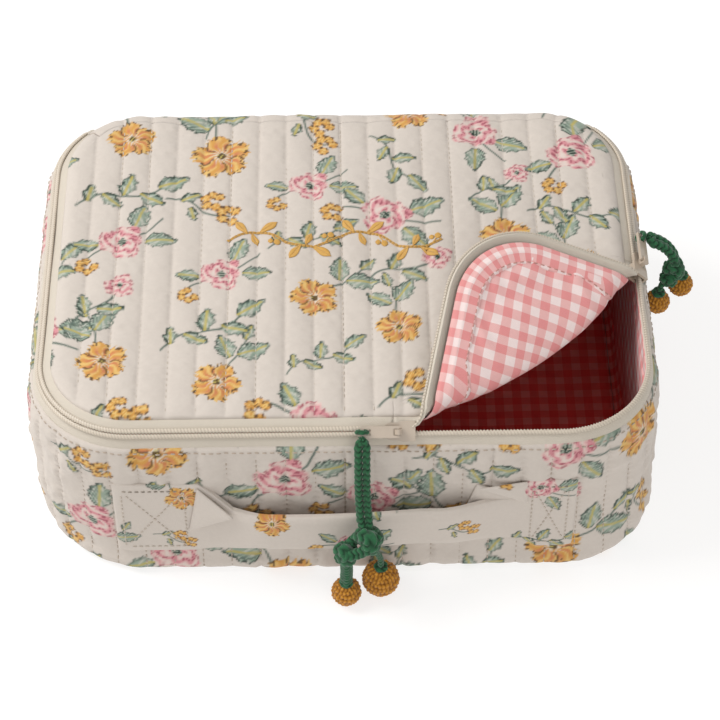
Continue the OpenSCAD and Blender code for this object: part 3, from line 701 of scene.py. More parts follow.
# The lining is one gingham in three copies, with painted light and shade. The lit shades are used where light
# falls: on the lid's lining, its corner and their strips. The shaded shades, redder and deeper, are used
# where shade falls inside the case: on the base and the strips low down. On the walls the shaded shades pale
# to the lit ones towards the rim.
LIT_GINGHAM_SHADES = ("#dc8f8d", "#e2b0ac", "#e9d6d2")
SHADED_GINGHAM_SHADES = ("#dc3a36", "#df544e", "#e57a72")
flap_gingham = gingham("yarn_dyed_gingham_painted_light", LIT_GINGHAM_SHADES)
gingham_cotton = gingham("yarn_dyed_gingham_painted_shade", SHADED_GINGHAM_SHADES)
wall_gingham = gingham("yarn_dyed_gingham_painted_shade_to_light", SHADED_GINGHAM_SHADES, LIT_GINGHAM_SHADES)
print("cloth finishes ready")

# %% [markdown]
# ## The lid
# The lid is a flat quilted panel with rounded corners. Its lines of stitches run from front to back, so the
# grid's columns run that way too, and each column is stretched between the lid's front and back edges. The
# puckers are a formula of the distance from the nearest line of stitches: a cloth simulation could make
# them too, but not the same each time. The front right corner is cut off square to the diagonal, where the
# fold begins, and is a piece of its own.

# %% The lid's shape
lid_x = half_width - rim_radius
lid_y = half_depth - rim_radius
lid_corner = corner_radius - rim_radius
FOLD_REACH = 12.0


def lid_edge(x):
    """Half the lid's depth at x: the straight edge, less what the round corner takes."""
    over = np.clip(np.abs(x) - core_x, 0, lid_corner)
    return core_y + np.sqrt(lid_corner**2 - over**2)


def lid_seam_distance(x, y):
    """How far a point lies inside the lid's zipped edges. At the back the cloth runs on over the rim."""
    dx, dy = np.abs(x) - core_x, np.abs(y) - core_y
    beyond = np.hypot(np.clip(dx, 0, None), np.clip(dy, 0, None))
    rounded = lid_corner - beyond - np.minimum(np.maximum(dx, dy), 0)
    open_back = lid_x - np.abs(x)
    turn = np.degrees(np.arctan2(dy, np.maximum(dx, 0.01)))
    weight = np.where(y > 0, np.clip((turn - 25) / 20, 0, 1), 0)
    weight = np.where((y > 0) & (dx < 0), 1, weight)
    return np.clip(rounded * (1 - weight) + open_back * weight, 0, None)


LID_SEED = 11
LID_PUFF = 1.35
LID_PUCKER = 0.3
LID_LAP = 5.5


def lid_height(x, y, inset=None):
    """Height of the lid's cloth over the construction's top: the quilting, and a slow unevenness between
    seams. inset is the distance from the turned edge that laps over the zip's tape."""
    inset = lid_seam_distance(x, y) + LID_LAP if inset is None else inset
    return (
        quilted(x, y, LID_PUFF, LID_PUCKER, LID_SEED) * ease(inset, 7)
        + 0.9 * ripple(x, y, 75, 5) * ease(inset, 25)
        + 0.5 * ease(inset, 1.2)
    )


def lid_place(x, share, offset):
    """A point of the lid: x, and y as a share of the way from the column's front to its back."""
    back = lid_edge(x)
    front = np.maximum(-back, (x * fold_cos - fold_distance + FOLD_REACH) / fold_sin)
    y = front + (back - front) * share
    return points_of(x, y, top + offset)


def lid_flat(x, share):
    """Cloth coordinates of the lid: x and y."""
    return x, lid_place(x, share, 0)[..., 1]


# %% The lid's quilted panel
lid_print = printed(scatter((-135, -105), (135, 105), 21))
LID_GRID = 0.68
lid_panel = panel(
    "lid_quilted_panel",
    printed_cotton,
    lid_place,
    steps(-lid_x, lid_x, LID_GRID),
    steps(0, 1, LID_GRID / (2 * lid_y)),
    lambda x, share: lid_height(*lid_flat(x, share)),
    -skin_depth,
    flat=lid_flat,
    paint=lid_print,
)
settle(lid_panel, "lid", "printed_cotton", "lid_outer", "lid_wadding", fill=0.4)


# %% The lid's back, over the rim to the hinge
def over_back_flat(s, t):
    """Cloth coordinates that carry on from the lid's: x of the lid's edge at s, and y run on down the rim."""
    edge = skin(s, t_top + 0 * s)
    return edge[..., 0], edge[..., 1] + (t_top - t)


HINGE_FADE = 7


def towards_hinge(t):
    """Fades a height out evenly towards the hinge, so that the lid can open: (distance / HINGE_FADE) **
    1.6."""
    return np.clip(np.abs(t - t_zip) / HINGE_FADE, 0, 1) ** 1.6


HINGE_SLIT = 0.15
back_s = steps(zip_end, perimeter - zip_end, 0.9)
lid_back = panel(
    "lid_back_edge",
    printed_cotton,
    skin,
    back_s,
    steps(t_zip + HINGE_SLIT, t_top, 0.8),
    lambda s, t: lid_height(*over_back_flat(s, t)) * towards_hinge(t),
    -skin_depth,
    flat=over_back_flat,
    paint=lid_print,
)
settle(lid_back, "lid", "printed_cotton", fill=0.4)

# %% The gingham under the lid
lid_lining = panel(
    "lid_gingham_lining",
    flap_gingham,
    lid_place,
    steps(-lid_x, lid_x, 2.0),
    steps(0, 1, 2.0 / (2 * lid_y)),
    lambda x, share: -lining_depth - 0.5 * ripple(*lid_flat(x, share), 30, 8) ** 2,
    -skin_depth,
    step=2,
    flip=True,
    flat=lid_flat,
)
settle(lid_lining, "lid", "gingham_cotton", "lid_lining", fill=0.1)

# %% [markdown]
# ## The folded corner
# The corner is the same quilted cloth, rolled over a line across the corner. It is made flat, like the lid,
# and then bent, so its print and its quilting carry on from the lid's. A point of the flat corner has a
# distance q past the line, and a distance e along it. Beyond the roll the corner is turned rigidly by the
# fold's angle. On the roll itself the cloth follows a cubic Bezier curve from the flat lid to the turned
# corner. The curve bulges most in the middle of the fold and is tight at its two ends, where the zip's tape
# holds it.

# %% The fold
round_q = core_x * fold_cos + core_y * fold_sin - fold_distance
round_e = core_x * fold_sin - core_y * fold_cos


def flap_ends(q):
    """Where the corner begins and ends along e at this q: on its two straight edges, or on its round one."""
    a = q + fold_distance
    around = np.sqrt(np.clip(lid_corner**2 - (q - round_q) ** 2, 0, None))
    low = np.where(q < round_q + lid_corner * fold_sin, (a * fold_sin - lid_y) / fold_cos, round_e - around)
    high = np.where(q < round_q + lid_corner * fold_cos, (lid_x - a * fold_cos) / fold_sin, round_e + around)
    return low, high


def from_fold(q, e):
    """The point x, y at a distance q past the fold line and e along it."""
    a = q + fold_distance
    return a * fold_cos + e * fold_sin, e * fold_cos - a * fold_sin


fold_low, fold_high = flap_ends(0.0)
FOLD_TIGHT = 5.0


def fold(points):
    """Points of the closed corner, moved to where they lie when the corner is folded back. h is the height
    over the lid, handle is the length of the curve's handles, and u runs over the roll."""
    x, y, z = points[..., 0], points[..., 1], points[..., 2]
    e = x * fold_sin + y * fold_cos
    q = x * fold_cos - y * fold_sin - fold_distance
    h = z - top
    along = 2 * (e - fold_low) / (fold_high - fold_low) - 1
    middle = np.clip(1 - along**2, 0, 1)
    reach = FOLD_TIGHT + (FOLD_REACH - FOLD_TIGHT) * middle
    depth = np.clip(-h / lining_depth, 0, 1.2)
    handle = (6 + 20 * middle) * depth + (3.5 + 15 * middle) * (1 - depth)
    cos, sin = math.cos(fold_angle), math.sin(fold_angle)
    turned_q, turned_h = q * cos - h * sin, q * sin + h * cos
    u = np.clip((q + reach) / (2 * reach), 0, 1)
    end_q, end_h = reach * cos - h * sin, reach * sin + h * cos
    w0, w1, w2, w3 = (1 - u) ** 3, 3 * u * (1 - u) ** 2, 3 * u**2 * (1 - u), u**3
    curve_q = w0 * -reach + w1 * (handle - reach) + w2 * (end_q - handle * cos) + w3 * end_q
    curve_h = (w0 + w1) * h + w2 * (end_h - handle * sin) + w3 * end_h
    new_q = np.where(q >= reach, turned_q, np.where(q <= -reach, q, curve_q))
    new_h = np.where(q >= reach, turned_h, np.where(q <= -reach, h, curve_h))
    return np.stack([*from_fold(new_q, e), new_h + top], -1)


def flap_flat(q, share):
    """Cloth coordinates of the corner: distance q past the fold, and a share of the way along it."""
    low, high = flap_ends(q)
    return from_fold(q, low + (high - low) * share)


def flap_place(q, share, offset):
    """A point of the folded corner."""
    return fold(points_of(*flap_flat(q, share), top + offset))


def unrolled(q, share):
    """Cloth coordinates of the corner's lining: as flap_flat, but q is measured along the rolled cloth
    itself."""
    points = flap_place(q, share, -lining_depth)
    across = points[..., 0] * fold_cos - points[..., 1] * fold_sin
    step = np.hypot(np.diff(across, axis=0), np.diff(points[..., 2], axis=0))
    run = np.concatenate([0 * q[:1], np.cumsum(step, axis=0)])
    low, high = flap_ends(q)
    x, y = from_fold(q[-1] - run[-1] + run, low + (high - low) * share)
    return x + 0.85 * ripple(x, y, 30, 77), y + 0.85 * ripple(x, y, 30, 78)


def flap_creases(q, share):
    """Small creases that start at the hem's seam and fade towards the middle of the corner."""
    x, y = flap_flat(q, share)
    return 0.35 * (1 + ripple(x, y, 9, 10)) * np.exp(-(((lid_seam_distance(x, y) - 6) / 7) ** 2))


def flap_lining_face(q, share):
    """Depth of the corner's lining, which is loose and creased."""
    return -lining_depth - 0.45 * (1 + ripple(*flap_flat(q, share), 22, 9)) - flap_creases(q, share)


# %% The corner's two layers
flap_rows = steps(-FOLD_REACH, round_q + lid_corner - 0.06, 0.7)
flap_shares = steps(0, 1, 0.8 / (fold_high - fold_low))
flap_panel = panel(
    "corner_quilted_panel",
    printed_cotton,
    flap_place,
    flap_rows,
    flap_shares,
    lambda q, share: lid_height(*flap_flat(q, share)),
    -skin_depth,
    flat=flap_flat,
    paint=lid_print,
)
settle(flap_panel, "lid_corner", "printed_cotton", "corner_outer", "corner_wadding", fill=0.3)
flap_lining = panel(
    "corner_gingham_lining",
    flap_gingham,
    flap_place,
    flap_rows,
    flap_shares,
    flap_lining_face,
    -skin_depth,
    flip=True,
    flat=unrolled,
)
settle(flap_lining, "lid_corner", "gingham_cotton", "corner_lining", fill=0.3)

# %% [markdown]
# ## The walls and the base
# The walls are quilted with upright lines. They are softer than the lid, so their channels are fuller, they
# pucker more, and they belly out a little at the sides. Low down they slouch over the base edge, most at
# the front right corner, and the base itself stays flat on the table. All this is one offset from the skin,
# a sum of simple terms that can each be tried alone.


# %% The wall panels
def wall_swell(s, t):
    """How far the wall bellies out: most at the middle of its height, and more at the sides than at the
    front."""
    _, _, angle = outline(s)
    amount = 0.4 + 0.8 * np.cos(angle) ** 2 + 0.5 * np.clip(np.sin(angle), 0, 1)
    return amount * np.sin(math.pi * np.clip(t / t_rim, 0, 1)) ** 0.8


def wall_slouch(s, t):
    """How the cloth slouches low down: it rolls over the base edge along the front, and leans over to the
    right."""
    _, _, angle = outline(s)
    front = np.clip(-np.sin(angle), 0, 1) ** 3 * np.exp(-(((t - 9) / 5) ** 2)) * np.clip((t - 2) / 4, 0, 1)
    right, left = (np.clip(np.cos(angle + turn), 0, 1) ** 4 for turn in (math.pi / 4, 3 * math.pi / 4))
    return 2.2 * front + (3.4 * right - 1.6 * left) * np.exp(-(((t - 16) / 14) ** 2)) * ease(t - 5, 8)


WALL_PUFF = 1.6
TAB_MIDDLE = 78.5


def wall_puffs(s, t):
    """The wall's quilting, pressed flatter under the handle's two tabs."""
    from_front = np.abs((s + perimeter / 2) % perimeter - perimeter / 2)
    pressed = ease(40 - np.abs(from_front - TAB_MIDDLE), 12) * ease(62 - t, 8)
    return quilted(s, t, WALL_PUFF, 0.8, 31) * (1 - 0.55 * pressed)


WALL_LAP = 5.0
wall_top = t_rim + WALL_LAP


def wall_offset(s, t):
    """The wall's face over the construction: swell, quilting and a turned-in edge that laps over the zip's
    tape."""
    above = ease(t - 5, 14)
    below = np.clip((wall_top - t) / 9, 0, 1) ** 0.7
    face = (wall_swell(s, t) + wall_puffs(s, t) * below + 0.5 * ease(wall_top - t, 1.2)) * above
    return np.maximum(face + wall_slouch(s, t), 0)


def back_flat(s, t):
    """Cloth coordinates of the back: x runs the lid's way, so the lines of stitches meet at the hinge."""
    return outline_knots[4] + core_x - s, t


def back_offset(s, x, t):
    """The back's face, where its quilting fades out towards the hinge."""
    puffs = quilted(x, t, WALL_PUFF, 0.5, 33) * towards_hinge(t)
    return (wall_swell(s, t) + puffs) * ease(t - 5, 14)


# %% The panels of the walls and the back
wall_panel = panel(
    "wall_quilted_panel",
    printed_cotton,
    skin,
    steps(-zip_end, zip_end, 0.78),
    steps(0, wall_top, 0.76),
    wall_offset,
    lambda s, t: 0 * s - skin_depth * np.clip((t_rim + 1 - t) / 2, 0, 1),
    paint=printed(scatter((-310, -14), (310, 80), 47)),
)
back_panel = panel(
    "back_quilted_panel",
    printed_cotton,
    skin,
    back_s,
    steps(0, t_zip - HINGE_SLIT, 0.8),
    lambda s, t: back_offset(s, back_flat(s, t)[0], t),
    -skin_depth,
    flat=back_flat,
    paint=printed(scatter((-150, -14), (150, 100), 53)),
)
for piece, stem in ((wall_panel, "wall"), (back_panel, "back")):
    settle(piece, "case", "printed_cotton", stem + "_outer", stem + "_wadding", fill=0.5)

# %% The linings of the walls, which rise over the inside of the zip's tape
def lining_face(t):
    """Depth of the lining's visible face: behind the wadding up the wall, and close under the tape at the
    rim."""
    return -lining_depth + (lining_depth - 1.8) * np.clip((t - t_rim) / (t_zip - t_rim - 2), 0, 1) ** 1.5


for side, stretch in (("wall", (-zip_end, zip_end)), ("back", (zip_end, perimeter - zip_end))):
    lining = panel(
        side + "_gingham_lining",
        wall_gingham,
        skin,
        steps(*stretch, 2.4),
        steps(0.5, t_zip - 2, 2.4),
        lambda s, t: lining_face(t) - 0.5 * (1 + ripple(s, t, 34, 12)) * ease(t, 10) * ease(t_zip - t, 10),
        lambda s, t: lining_face(t) + lining_depth - skin_depth,
        step=2,
        flip=True,
    )
    settle(lining, "case", "gingham_cotton", side + "_lining", fill=0.1)


# %% The base, which stands flat
base_corner = corner_radius - base_edge


def base_place(x, share, offset):
    """A point of the base: x, and y as a share of the way from front to back, at a height over the table."""
    over = np.clip(np.abs(x) - core_x, 0, base_corner)
    y = (core_y + np.sqrt(base_corner**2 - over**2)) * (2 * share - 1)
    return points_of(x, y, offset)


def base_flat(x, share):
    """Cloth coordinates of the base: x and y."""
    return x, base_place(x, share, 0)[..., 1]


base_x = core_x + base_corner
base_columns = steps(-base_x, base_x, 1.2)
base_shares = steps(0, 1, 1.2 / (2 * (core_y + base_corner)))
base_panel = panel(
    "base_quilted_panel",
    printed_cotton,
    base_place,
    base_columns,
    base_shares,
    lambda x, share: 1.2 - quilted(x, share, 1.1, 0, 3).clip(0, 1.2),
    skin_depth,
    flip=True,
    flat=base_flat,
    paint=printed(scatter((-130, -95), (130, 95), 61)),
)
base_lining = panel(
    "base_gingham_lining",
    gingham_cotton,
    base_place,
    base_columns[::2],
    base_shares[::2],
    lambda x, share: lining_depth + 0.3 * (1 + ripple(*base_flat(x, share), 40, 4)),
    skin_depth,
    step=2,
    flat=base_flat,
)
settle(base_panel, "case", "printed_cotton", "base_outer", "base_wadding", fill=0.2)
settle(base_lining, "case", "gingham_cotton", "base_lining", fill=0.2)

# %% [markdown]
# ## The zip
# A zip is two woven tapes, each with a nylon coil sewn along its edge. One tape is sewn to the walls and
# one to the lid, and the lid's tape has a stretch that turns with the folded corner. The lid's cloth is
# turned under along its edge and laps over the tape. A coil could be a helix of wire, but hundreds of its
# turns would cost a million faces. It is a tube on the rim instead, whose ribs are its turns, about 1.4 mm
# apart.

# %% Finishes of the zip, its metal and the threads
# Woven polyester tape: smooth ribs about 0.5 mm apart, drawn at 1.1 mm so that they show, with a slight
# sheen
zip_tape_cloth, tree, shader = material("woven_polyester_tape", 0.62, sheen=0.15, specular=0.35)
tint(tree, shader, "#c5bbac", weave_bump(tree, shader, 1.1, 0.35), 0.5, 0.95, 1.03)

# Nylon monofilament: hard, slightly glossy turns, in their own colour on the crests and in a darker painted
# shade between them
nylon_coil, tree, shader = material("nylon_coil", 0.38)
turn_colour = between(tree, "#a09280", "#cfc3b2")
tint(tree, shader, turn_colour, add(tree, "TexCoord").outputs["Object"], 300.0, 0.9, 1.05)

# Die-cast zinc under baked enamel: smooth and satin, a little rubbed, with the faint grain of the casting
enamelled_zinc = plain_finish("enamelled_zinc", 0.32, "#b5a593", 220.0, 0.86, 1.04, coat=0.4)
tree = enamelled_zinc.node_tree
grain = add(tree, "TexNoise", Vector=add(tree, "TexCoord").outputs["Object"], Scale=900.0, Detail=2.0)
bent = add(tree, "Bump", Height=grain.outputs[0], Strength=0.15, Distance=0.0001)
tree.links.new(bent.outputs[0], tree.nodes["Principled BSDF"].inputs["Normal"])

# Spun polyester thread: matt and a little hairy, so its shade varies along it
cream_thread = plain_finish("spun_thread_cream", 0.7, "#ae9f8f", 500.0, 0.82, 1.05, sheen=0.2)
pale_thread = plain_finish("spun_thread_pale", 0.7, "#bcb0a1", 500.0, 0.82, 1.05, sheen=0.2)
rosy_thread = plain_finish("spun_thread_rosy", 0.7, "#c08a80", 500.0, 0.82, 1.05, sheen=0.2)
print("zip and thread finishes ready")

# %% The tapes
ZIP_SLIT = 0.5
TAPE_TURN = 6.0
zip_inset = rim_radius * (1 - math.sqrt(0.5))
zip_x = half_width - zip_inset
zip_y = half_depth - zip_inset
flap_start = (fold_distance - TAPE_TURN - zip_y * fold_sin) / fold_cos
flap_end = outline_knots[2] + core_y + (zip_x * fold_cos - fold_distance + TAPE_TURN) / fold_sin


def folded_skin(s, t, offset=0.0):
    """A point of the skin on the folded corner."""
    return fold(skin(s, t, offset))


def tape_face(s, t):
    """The tape lies 0.1 mm over the rim and waves a little between its seam and its coil."""
    return 0.1 + 0.18 * ripple(s, 3 * t, 60, 15)


wall_width = (t_rim - 2, t_zip - ZIP_SLIT)
lid_width = (t_zip + ZIP_SLIT, t_top)
tape_runs = {
    "wall_zip_tape_cloth": (skin, (-zip_end, zip_end), wall_width, "wall_zip_tape"),
    "lid_zip_tape_left": (skin, (-zip_end, flap_start + 0.2), lid_width, "lid_zip_tape"),
    "lid_zip_tape_right": (skin, (flap_end, zip_end), lid_width, "lid_zip_tape"),
    "corner_zip_tape_cloth": (folded_skin, (flap_start, flap_end), lid_width, "corner_zip_tape"),
}


def body_of(node):
    """The body of one of the zip's or bindings' nodes, from the first word of its name."""
    return {"lid": "lid", "corner": "lid_corner"}.get(node.split("_")[0], "case")


for name, (place, run, width, node) in tape_runs.items():
    tape = panel(name, zip_tape_cloth, place, steps(*run, 1.6), steps(*width, 0.8), tape_face, -0.8, step=2)
    settle(tape, body_of(node), "zip_tape", node)


# %% The lid's turned edges, which lap over its tape
LAP_OVER = 0.3
LAP_INNER = 2.4


def lap_flat(s, t):
    """Cloth coordinates that carry on from the lid's edge, outwards and down the rim."""
    edge = skin(s, t_top + 0 * s)
    angle = outline(s)[2]
    return edge[..., 0] + (t_top - t) * np.cos(angle), edge[..., 1] + (t_top - t) * np.sin(angle)


def lap_height(s, t):
    """The lid's quilting goes on over the lap, stays above the tape, and sinks into the lid at its inner
    edge."""
    inset = LID_LAP - (t_top - t)
    height = np.maximum(lid_height(*lap_flat(s, t), inset), 0.35 * ease(inset, 0.6))
    return height + 0.05 - 0.11 * np.clip((t - t_top) / LAP_INNER, 0, 1)


for name, place, run, body in (
    ("lid_turned_edge_left", skin, (-zip_end, flap_start + LAP_OVER), "lid"),
    ("lid_turned_edge_right", skin, (flap_end - LAP_OVER, zip_end), "lid"),
    ("corner_turned_edge", folded_skin, (flap_start, flap_end), "lid_corner"),
):
    lap = panel(
        name,
        printed_cotton,
        place,
        steps(*run, 0.8),
        steps(t_top - LID_LAP, t_top + LAP_INNER, 0.6),
        lap_height,
        -0.2,
        step=2,
        flat=lap_flat,
        paint=lid_print,
    )
    settle(lap, body, "printed_cotton")


# %% The coils
def tube_faces(rows, sides, start=0):
    """The faces of a closed tube of rings of points, with both ends capped."""
    i = start + np.arange(rows * sides).reshape(rows, sides)
    across = np.roll(i, -1, axis=1)
    quads = np.stack([i[:-1], across[:-1], across[1:], i[1:]], -1).reshape(-1, 4)
    return [quads, i[:1, ::-1], i[-1:]]


COIL_PITCH = 1.35
COIL_HALF = 0.95
COIL_RISE = 0.68
COIL_GAP = 0.06
COIL_LIFT = 0.1


def coil(name, place, run, side, node):
    """A coil beside the zip's line, on the wall (-1) or the lid (1). Its section is a squared ellipse, with
    cos and sin to the power 0.55, that shrinks between turns by |cos|. The turns slant: the section is
    sheared along s. Beside the zip's line each turn reaches over it, between two turns of the other
    coil."""
    s = np.arange(run[0], run[1], COIL_PITCH / 6)[:, None]
    around = np.linspace(0, 2 * math.pi, 8, endpoint=False)[None, ::-1]
    squared = [np.sign(w) * np.abs(w) ** 0.55 for w in (np.cos(around).round(6), np.sin(around).round(6))]
    across = squared[0] * side
    turn = 0.5 + 0.5 * np.abs(np.cos(math.pi * (s / COIL_PITCH + 0.3 * across))) ** 0.6
    reach = COIL_HALF * (1 + 0.24 * np.clip(-squared[0], 0, 1) * side * np.cos(2 * math.pi * s / COIL_PITCH))
    points = place(
        s + 0 * around,
        t_zip + side * (COIL_HALF + COIL_GAP) + reach * across,
        COIL_RISE + COIL_LIFT + COIL_RISE * squared[1] * turn,
    )
    faces = tube_faces(len(s), 8)
    if side < 0:
        faces = [f[:, ::-1] for f in faces]
    # Painted shade: the coil's colour is darker between its turns, where shade falls
    shade = np.repeat((2 * turn - 1).reshape(-1, 1), 3, axis=1)
    piece = new_piece(name, points.reshape(-1, 3), faces, nylon_coil, colour=shade)
    settle(piece, body_of(node), "zip_coil", node)


coil("wall_coil", skin, (-zip_end, zip_end), -1, "wall_zip_coil")
coil("lid_coil_left", skin, (-zip_end, flap_start), 1, "lid_zip_coil")
coil("lid_coil_right", skin, (flap_end, zip_end), 1, "lid_zip_coil")
coil("corner_coil", folded_skin, (flap_start, flap_end), 1, "corner_zip_coil")

# %% [markdown]
# ## Bindings and hems
# Raw edges inside are covered with strips of the gingham, and the zip's two ends with patches of tape. The
# folded corner shows the widest strip: a hem along its zip, from the tape over the edge of the lining. Each
# strip is a panel on the skin whose offset is thick in the middle and thin at its edges.


# %% The strips
def strip(name, place, run, width, face, node, cloth=gingham_cotton):
    """A strip of gingham along the rim, whose visible face lies at the depth face(t), raised in the
    middle."""
    low, high = width

    def raised(s, t):
        """The strip's visible face: thick in the middle, thin at both edges, and slightly creased."""
        return face(t) - 0.75 * ease(np.minimum(t - low, high - t), 1.5) - 0.12 * (1 + ripple(s, t, 9, 17))

    piece = panel(
        name,
        cloth,
        place,
        steps(*run, 1.6),
        steps(low, high, 0.8),
        raised,
        lambda s, t: face(t) + 0.1,
        step=2,
        flip=True,
    )
    settle(piece, body_of(node), "gingham_cotton", node)


def lid_under_face(t):
    """Depth under the lid: close under the tape at the rim, and under the lining from the lid's edge
    inwards."""
    return -1.0 - (lining_depth + 0.35 - 1.0) * np.clip((t - t_zip - 2) / (t_top - t_zip - 4), 0, 1)


def lid_strip(name, place, run, node):
    """A strip over the raw edge under the lid or its corner."""
    strip(name, place, run, (t_zip + 4.2, t_top + 5), lid_under_face, node, cloth=flap_gingham)


strip(
    "wall_edge_strip",
    skin,
    (-zip_end, zip_end),
    (t_rim - 6, t_rim),
    lining_face,
    "wall_edge_binding",
    cloth=wall_gingham,
)
back_run = (zip_end + 3, perimeter - zip_end - 3)
strip("hinge_strip", skin, back_run, (t_rim, t_zip - 1.5), lining_face, "hinge_binding")
lid_strip("lid_edge_strip_left", skin, (-zip_end, flap_start), "lid_edge_binding")
lid_strip("lid_edge_strip_right", skin, (flap_end, zip_end), "lid_edge_binding")
lid_strip("corner_hem", folded_skin, (flap_start, flap_end), "corner_edge_binding")
strip("base_seam_strip", skin, (0, perimeter), (6, 13), lining_face, "base_seam_binding")

# %% The covers over the zip's two ends
cover_low, cover_high = t_zip - 6, t_zip - 0.4


def cover_face(s, t):
    """A puffed patch that tucks in at its four edges."""
    across = ease(np.minimum(t - cover_low, cover_high - t), 2)
    return 1.1 * across * ease(5 - np.abs(np.abs(s) - zip_end - 1), 2)


for side, name in ((1, "zip_end_cover_right"), (-1, "zip_end_cover_left")):
    cover_s = np.sort(side * steps(zip_end - 4, zip_end + 6, 0.7))
    cover_t = steps(cover_low, cover_high, 0.7)
    cover = panel(name, zip_tape_cloth, skin, cover_s, cover_t, cover_face, -0.5, step=2)
    settle(cover, "case", "zip_tape", "zip_end_covers")


# %% [markdown]
# ## Stitches
# Every seam that shows is a row of real stitches, each a small round bar sunk at its ends. A dashed line in
# a material would look flat from near by. They lie in the grooves of the quilting, along the top of the
# wall, round the hem, and in the square and cross on the handle's tabs.


# %% Rows of stitches
def along_path(path, pitch, share):
    """Starts and ends of stitches along a path of points, a pitch apart, each a share of the pitch long."""
    length = np.concatenate([[0], np.cumsum(np.linalg.norm(np.diff(path, axis=0), axis=1))])
    starts = np.arange(pitch / 4, length[-1] - pitch, pitch)

    def at(distance):
        """The points at these lengths along the path."""
        return np.stack([np.interp(distance, length, path[:, k]) for k in range(3)], -1)

    return at(starts), at(starts + share * pitch)


def stitches(name, paths, finish, pitch=STITCH_PITCH, share=0.62, radius=0.32):
    """One mesh of all the stitches along these paths."""
    starts, ends = (np.concatenate(part) for part in zip(*(along_path(p, pitch, share) for p in paths)))
    return thread_bars(name, starts, ends, finish, radius)


def thread_bars(name, starts, ends, finish, radius):
    """A mesh of short round bars of thread: four rings of five points each, small at both ends."""
    way = ends - starts
    way /= np.linalg.norm(way, axis=1, keepdims=True)
    side = np.cross(way, [0.31, 0.52, 0.8])
    side /= np.linalg.norm(side, axis=1, keepdims=True)
    other = np.cross(way, side)
    around = np.linspace(0, 2 * math.pi, 5, endpoint=False)
    ring = np.cos(around)[:, None] * side[:, None] + np.sin(around)[:, None] * other[:, None]
    shares = np.array([0, 0.18, 0.82, 1])[None, :, None, None]
    sizes = radius * np.array([0.35, 1, 1, 0.35])[None, :, None, None]
    centres = starts[:, None, None] + shares * (ends - starts)[:, None, None]
    points = centres + sizes * ring[:, None]
    one = tube_faces(4, 5)
    offsets = 20 * np.arange(len(starts))[:, None, None]
    faces = [(f[None] + offsets).reshape(-1, f.shape[1]) for f in one]
    return new_piece(name, points.reshape(-1, 3), faces, finish)


def quilting_lines(first, last):
    """Where the quilting's lines of stitches lie between two places."""
    return CHANNEL * np.arange(math.ceil(first / CHANNEL), math.floor(last / CHANNEL) + 1)


# %% The stitches of the lid, the walls, the back and the hem
SINK = 0.12
fine = np.linspace(0, 1, 200)
lid_lines = []
for x in quilting_lines(-lid_x + 3, lid_x - 3):
    flat_y = lid_flat(x + 0 * fine, 0.02 + 0.97 * fine)[1]
    lid_lines.append(points_of(x, flat_y, top + lid_height(x, flat_y) + SINK))
for x in quilting_lines(-core_x, flap_start):
    t = t_top - (LID_LAP - 1.5) * fine
    lid_lines.append(skin(x, t, lap_height(x, t) + SINK))
settle(stitches("lid_quilting_stitches", lid_lines, pale_thread), "lid", "printed_cotton")

edge_s = np.linspace(-zip_end, zip_end, 3000)
edge_t = wall_top - 2.4
t = 9 + (wall_top - 14) * fine
wall_lines = [skin(s, t, wall_offset(s, t) + SINK) for s in quilting_lines(-zip_end + 2, zip_end - 2)]
wall_lines.append(skin(edge_s, edge_t, wall_offset(edge_s, edge_t) + 0.1))
settle(stitches("wall_stitches", wall_lines, cream_thread), "case", "printed_cotton")

t = 9 + (t_zip - 14) * fine
back_lines = []
for x in quilting_lines(-core_x - 20, core_x + 20):
    s = outline_knots[4] + core_x - x
    back_lines.append(skin(s, t, back_offset(s, x, t) + SINK))
settle(stitches("back_stitches", back_lines, cream_thread), "case", "printed_cotton")

hem_s = np.linspace(flap_start + 9, flap_end - 9, 900)
hem_t = t_top + 3.6
hem_row = folded_skin(hem_s, hem_t, lid_under_face(hem_t) - 0.9)
settle(stitches("corner_hem_stitches", [hem_row], rosy_thread), "lid_corner", "printed_cotton")

# %% [markdown]
# ## The handle
# The handle is one strap of the printed cotton, folded double. Each end is opened to its full height and
# sewn flat on the wall, and between them the strap swings free. So the strap is a panel whose lower and
# upper edges change along it, and it bends between the wall and the grip. The left end is folded over once
# where it narrows. The right end leaves the lower half of its tab, and the tab's corner stands open above
# it.

# %% The strap
grip_low, grip_high = box_mm("handle_grip")
tab_low, tab_high = box_mm("handle_tab_left")
STRAP_SPLIT = 7.0
strap_level = (tab_low[2] + tab_high[2]) / 2
strap_end = -tab_low[0]
tab_edge = -tab_high[0]
grip_edge = grip_high[0]
grip_out = -grip_high[1] - half_depth
section_start = section_knots[1] - base_edge


def strap_edges(s):
    """Heights of the strap's lower and upper edges, which are the whole tab's at both ends and slope a
    little between them, as the strap hangs lower at its left."""
    tilt = np.interp(s, [-50, 60], [-2.6, 2.4])
    low = np.interp(s, [-62, -36, 40, 74, 80], [tab_low[2], grip_low[2], grip_low[2], 20, tab_low[2]])
    high = np.interp(s, [-60, -46, 70, 75], [tab_high[2], grip_high[2], grip_high[2], tab_high[2]])
    free = np.interp(np.abs(s), [grip_edge, tab_edge], [1, 0])
    return low + tilt * free, high + tilt * free


def strap_share(s):
    """How free the strap is: 1 along the grip, and 0 where it lies on the wall."""
    fixed = np.interp(s, [-1, 1], [tab_edge, tab_edge + 8])
    share = np.clip((fixed - np.abs(s)) / (tab_edge - grip_edge), 0, 1)
    return share**2 * (3 - 2 * share)


def strap_flat(s, v):
    """Cloth coordinates of the strap: s, and the height, for v from -1 at its lower edge to 1 at its upper
    one."""
    low, high = strap_edges(s)
    return s, low + (high - low) * (v + 1) / 2


def strap_place(s, v, offset):
    """A point of the strap."""
    return skin(s, section_start + strap_flat(s, v)[1], offset)


